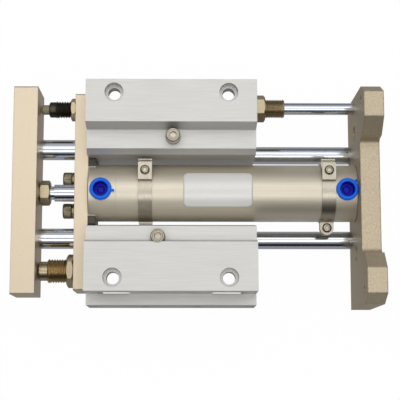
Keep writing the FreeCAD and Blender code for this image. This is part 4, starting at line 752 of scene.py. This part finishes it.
def cap_profile(top):
    """Radius and height of the cup, from the middle of its recess out over the lip and down."""
    bend = np.radians(np.linspace(180, 0, 13))
    width = (CAP_RADIUS - CAP_RECESS) / 2
    lip_r = (CAP_RADIUS + CAP_RECESS) / 2 + width * np.cos(bend)
    lip_z = top - LIP + LIP * np.sin(bend)
    floor_z, bottom = top - CAP_RIM - CAP_FLOOR, top - CAP_RIM - CAP_SINK
    boss_r, boss_rise = np.array(CAP_BOSS).T
    radius = np.concatenate([boss_r, [CAP_RECESS - CAP_FILLET, CAP_RECESS], lip_r,
                             [CAP_RADIUS, CAP_PLUG, CAP_PLUG, CAP_PLUG - CAP_LEAD_WIDE, 0]])
    height = np.concatenate([floor_z + boss_rise, [floor_z, floor_z + CAP_FILLET], lip_z,
                             [np.nan, np.nan, bottom + CAP_LEAD, bottom, bottom]])
    return radius, height


# %% [markdown]
# A short round tab at the rim is what the fitter pulls. It is a bar of its own that starts inside
# the rim, turned about the cap's middle, and the front and the rear one point different ways.

# %% Caps with their pull tabs
TAB_RADIUS, TAB_START, TAB_REACH = 0.8, 4.9, 8.0
CAPS = (("front_cap", "port_cap_front", -8.0), ("rear_cap", "port_cap_rear", 45.0))


def cap_middle(solid):
    """The cap's own middle, from the sides of its box that the pull tab doesn't widen."""
    low, high = ends_of(solid)[:2]
    return np.array([low[0] + CAP_RADIUS, 0.0, high[2]])


def port_cap(name, solid, tab_turn):
    """A cup turned about the port's axis and seated on the tube, and its pull tab."""
    middle = cap_middle(solid)
    radius, height = cap_profile(middle[2])
    turn = np.linspace(0, 2 * np.pi, CAP_COLUMNS, endpoint=False)
    across, aside = radius[:, None] * np.cos(turn), radius[:, None] * np.sin(turn)
    seat = ends_of("cylinder_tube")[2][2] + np.sqrt(TUBE_RADIUS ** 2 - aside ** 2)
    level = np.where(np.isnan(height[:, None]), seat, height[:, None])
    points = np.stack([middle[0] + across, middle[1] + aside, level], axis=-1) * MM
    cup = dress(piece_from_grids(name + "_cup", [points]), cap_blue, "base", "blue_plastic", solid)
    # Painted shade: the faces inside the recess get the navy finish.
    cup.data.materials.append(cap_painted_shade)
    cup_reach = CAP_RECESS + INSIDE_MARGIN
    cup_floor = middle[2] - CAP_RIM - CAP_FLOOR - INSIDE_MARGIN
    inside = [math.hypot(face.center.x / MM - middle[0], face.center.y / MM) < cup_reach
              and face.center.z / MM > cup_floor for face in cup.data.polygons]
    cup.data.polygons.foreach_set("material_index", np.array(inside, dtype=np.int32))

    bend = np.radians(np.linspace(0, 90, 7))
    rows = np.vstack([bar_rows([TAB_START, TAB_START], [0.0, TAB_RADIUS]),
                      bar_rows(TAB_REACH - TAB_RADIUS * (1 - np.sin(bend)),
                               TAB_RADIUS * np.cos(bend))])
    bar = turned_grid(rows, (0.0, 0.0, 0.0), columns=TAB_COLUMNS) / MM
    way = math.radians(tab_turn)
    spun = np.stack([middle[0] + bar[..., 0] * math.cos(way) - bar[..., 1] * math.sin(way),
                     bar[..., 0] * math.sin(way) + bar[..., 1] * math.cos(way),
                     middle[2] - CAP_RIM / 2 + bar[..., 2]], axis=-1) * MM
    dress(piece_from_grids(name + "_pull_tab", [spun]), cap_blue, "base", "blue_plastic")


for name, solid, tab_turn in CAPS:
    port_cap(name, solid, tab_turn)

# %% [markdown]
# ## Label
# The tube carries a foil label with round corners. It is left blank. The foil is a grid bent
# round the tube, and the length of each of its strips shrinks near the two long edges by the
# corner's circle: `r - sqrt(r² - s²)`.

# %% Label foil
LABEL_CORNER = 2.6
LABEL_LIFT = 0.14
LABEL_THICKNESS = 0.12
LABEL_ROWS, LABEL_COLUMNS = 41, 61

low, high, middle = ends_of("label_sheet")
tube_axis = ends_of("cylinder_tube")[2][2]
foil_radius = TUBE_RADIUS + LABEL_LIFT
half_arc = math.asin(high[1] / foil_radius) * TUBE_RADIUS
arc = half_arc * np.sin(np.linspace(-np.pi / 2, np.pi / 2, LABEL_COLUMNS))
into_corner = np.clip(abs(arc) - (half_arc - LABEL_CORNER), 0, LABEL_CORNER)
shorter = LABEL_CORNER - np.sqrt(LABEL_CORNER ** 2 - into_corner ** 2)
along = np.linspace(-1, 1, LABEL_ROWS)[:, None] * ((high[0] - low[0]) / 2 - shorter)
angle = arc / TUBE_RADIUS
points = np.stack([middle[0] + along, foil_radius * np.sin(angle) + 0 * along,
                   tube_axis + foil_radius * np.cos(angle) + 0 * along], axis=-1) * MM
foil = piece_from_grids("label_foil_sheet", [points], wrap_columns=False)
thickness = foil.modifiers.new("foil_thickness", "SOLIDIFY")
thickness.thickness = LABEL_THICKNESS * MM
thickness.offset = -1.0
dress(foil, label_foil, "base", "label_foil", "label_sheet")
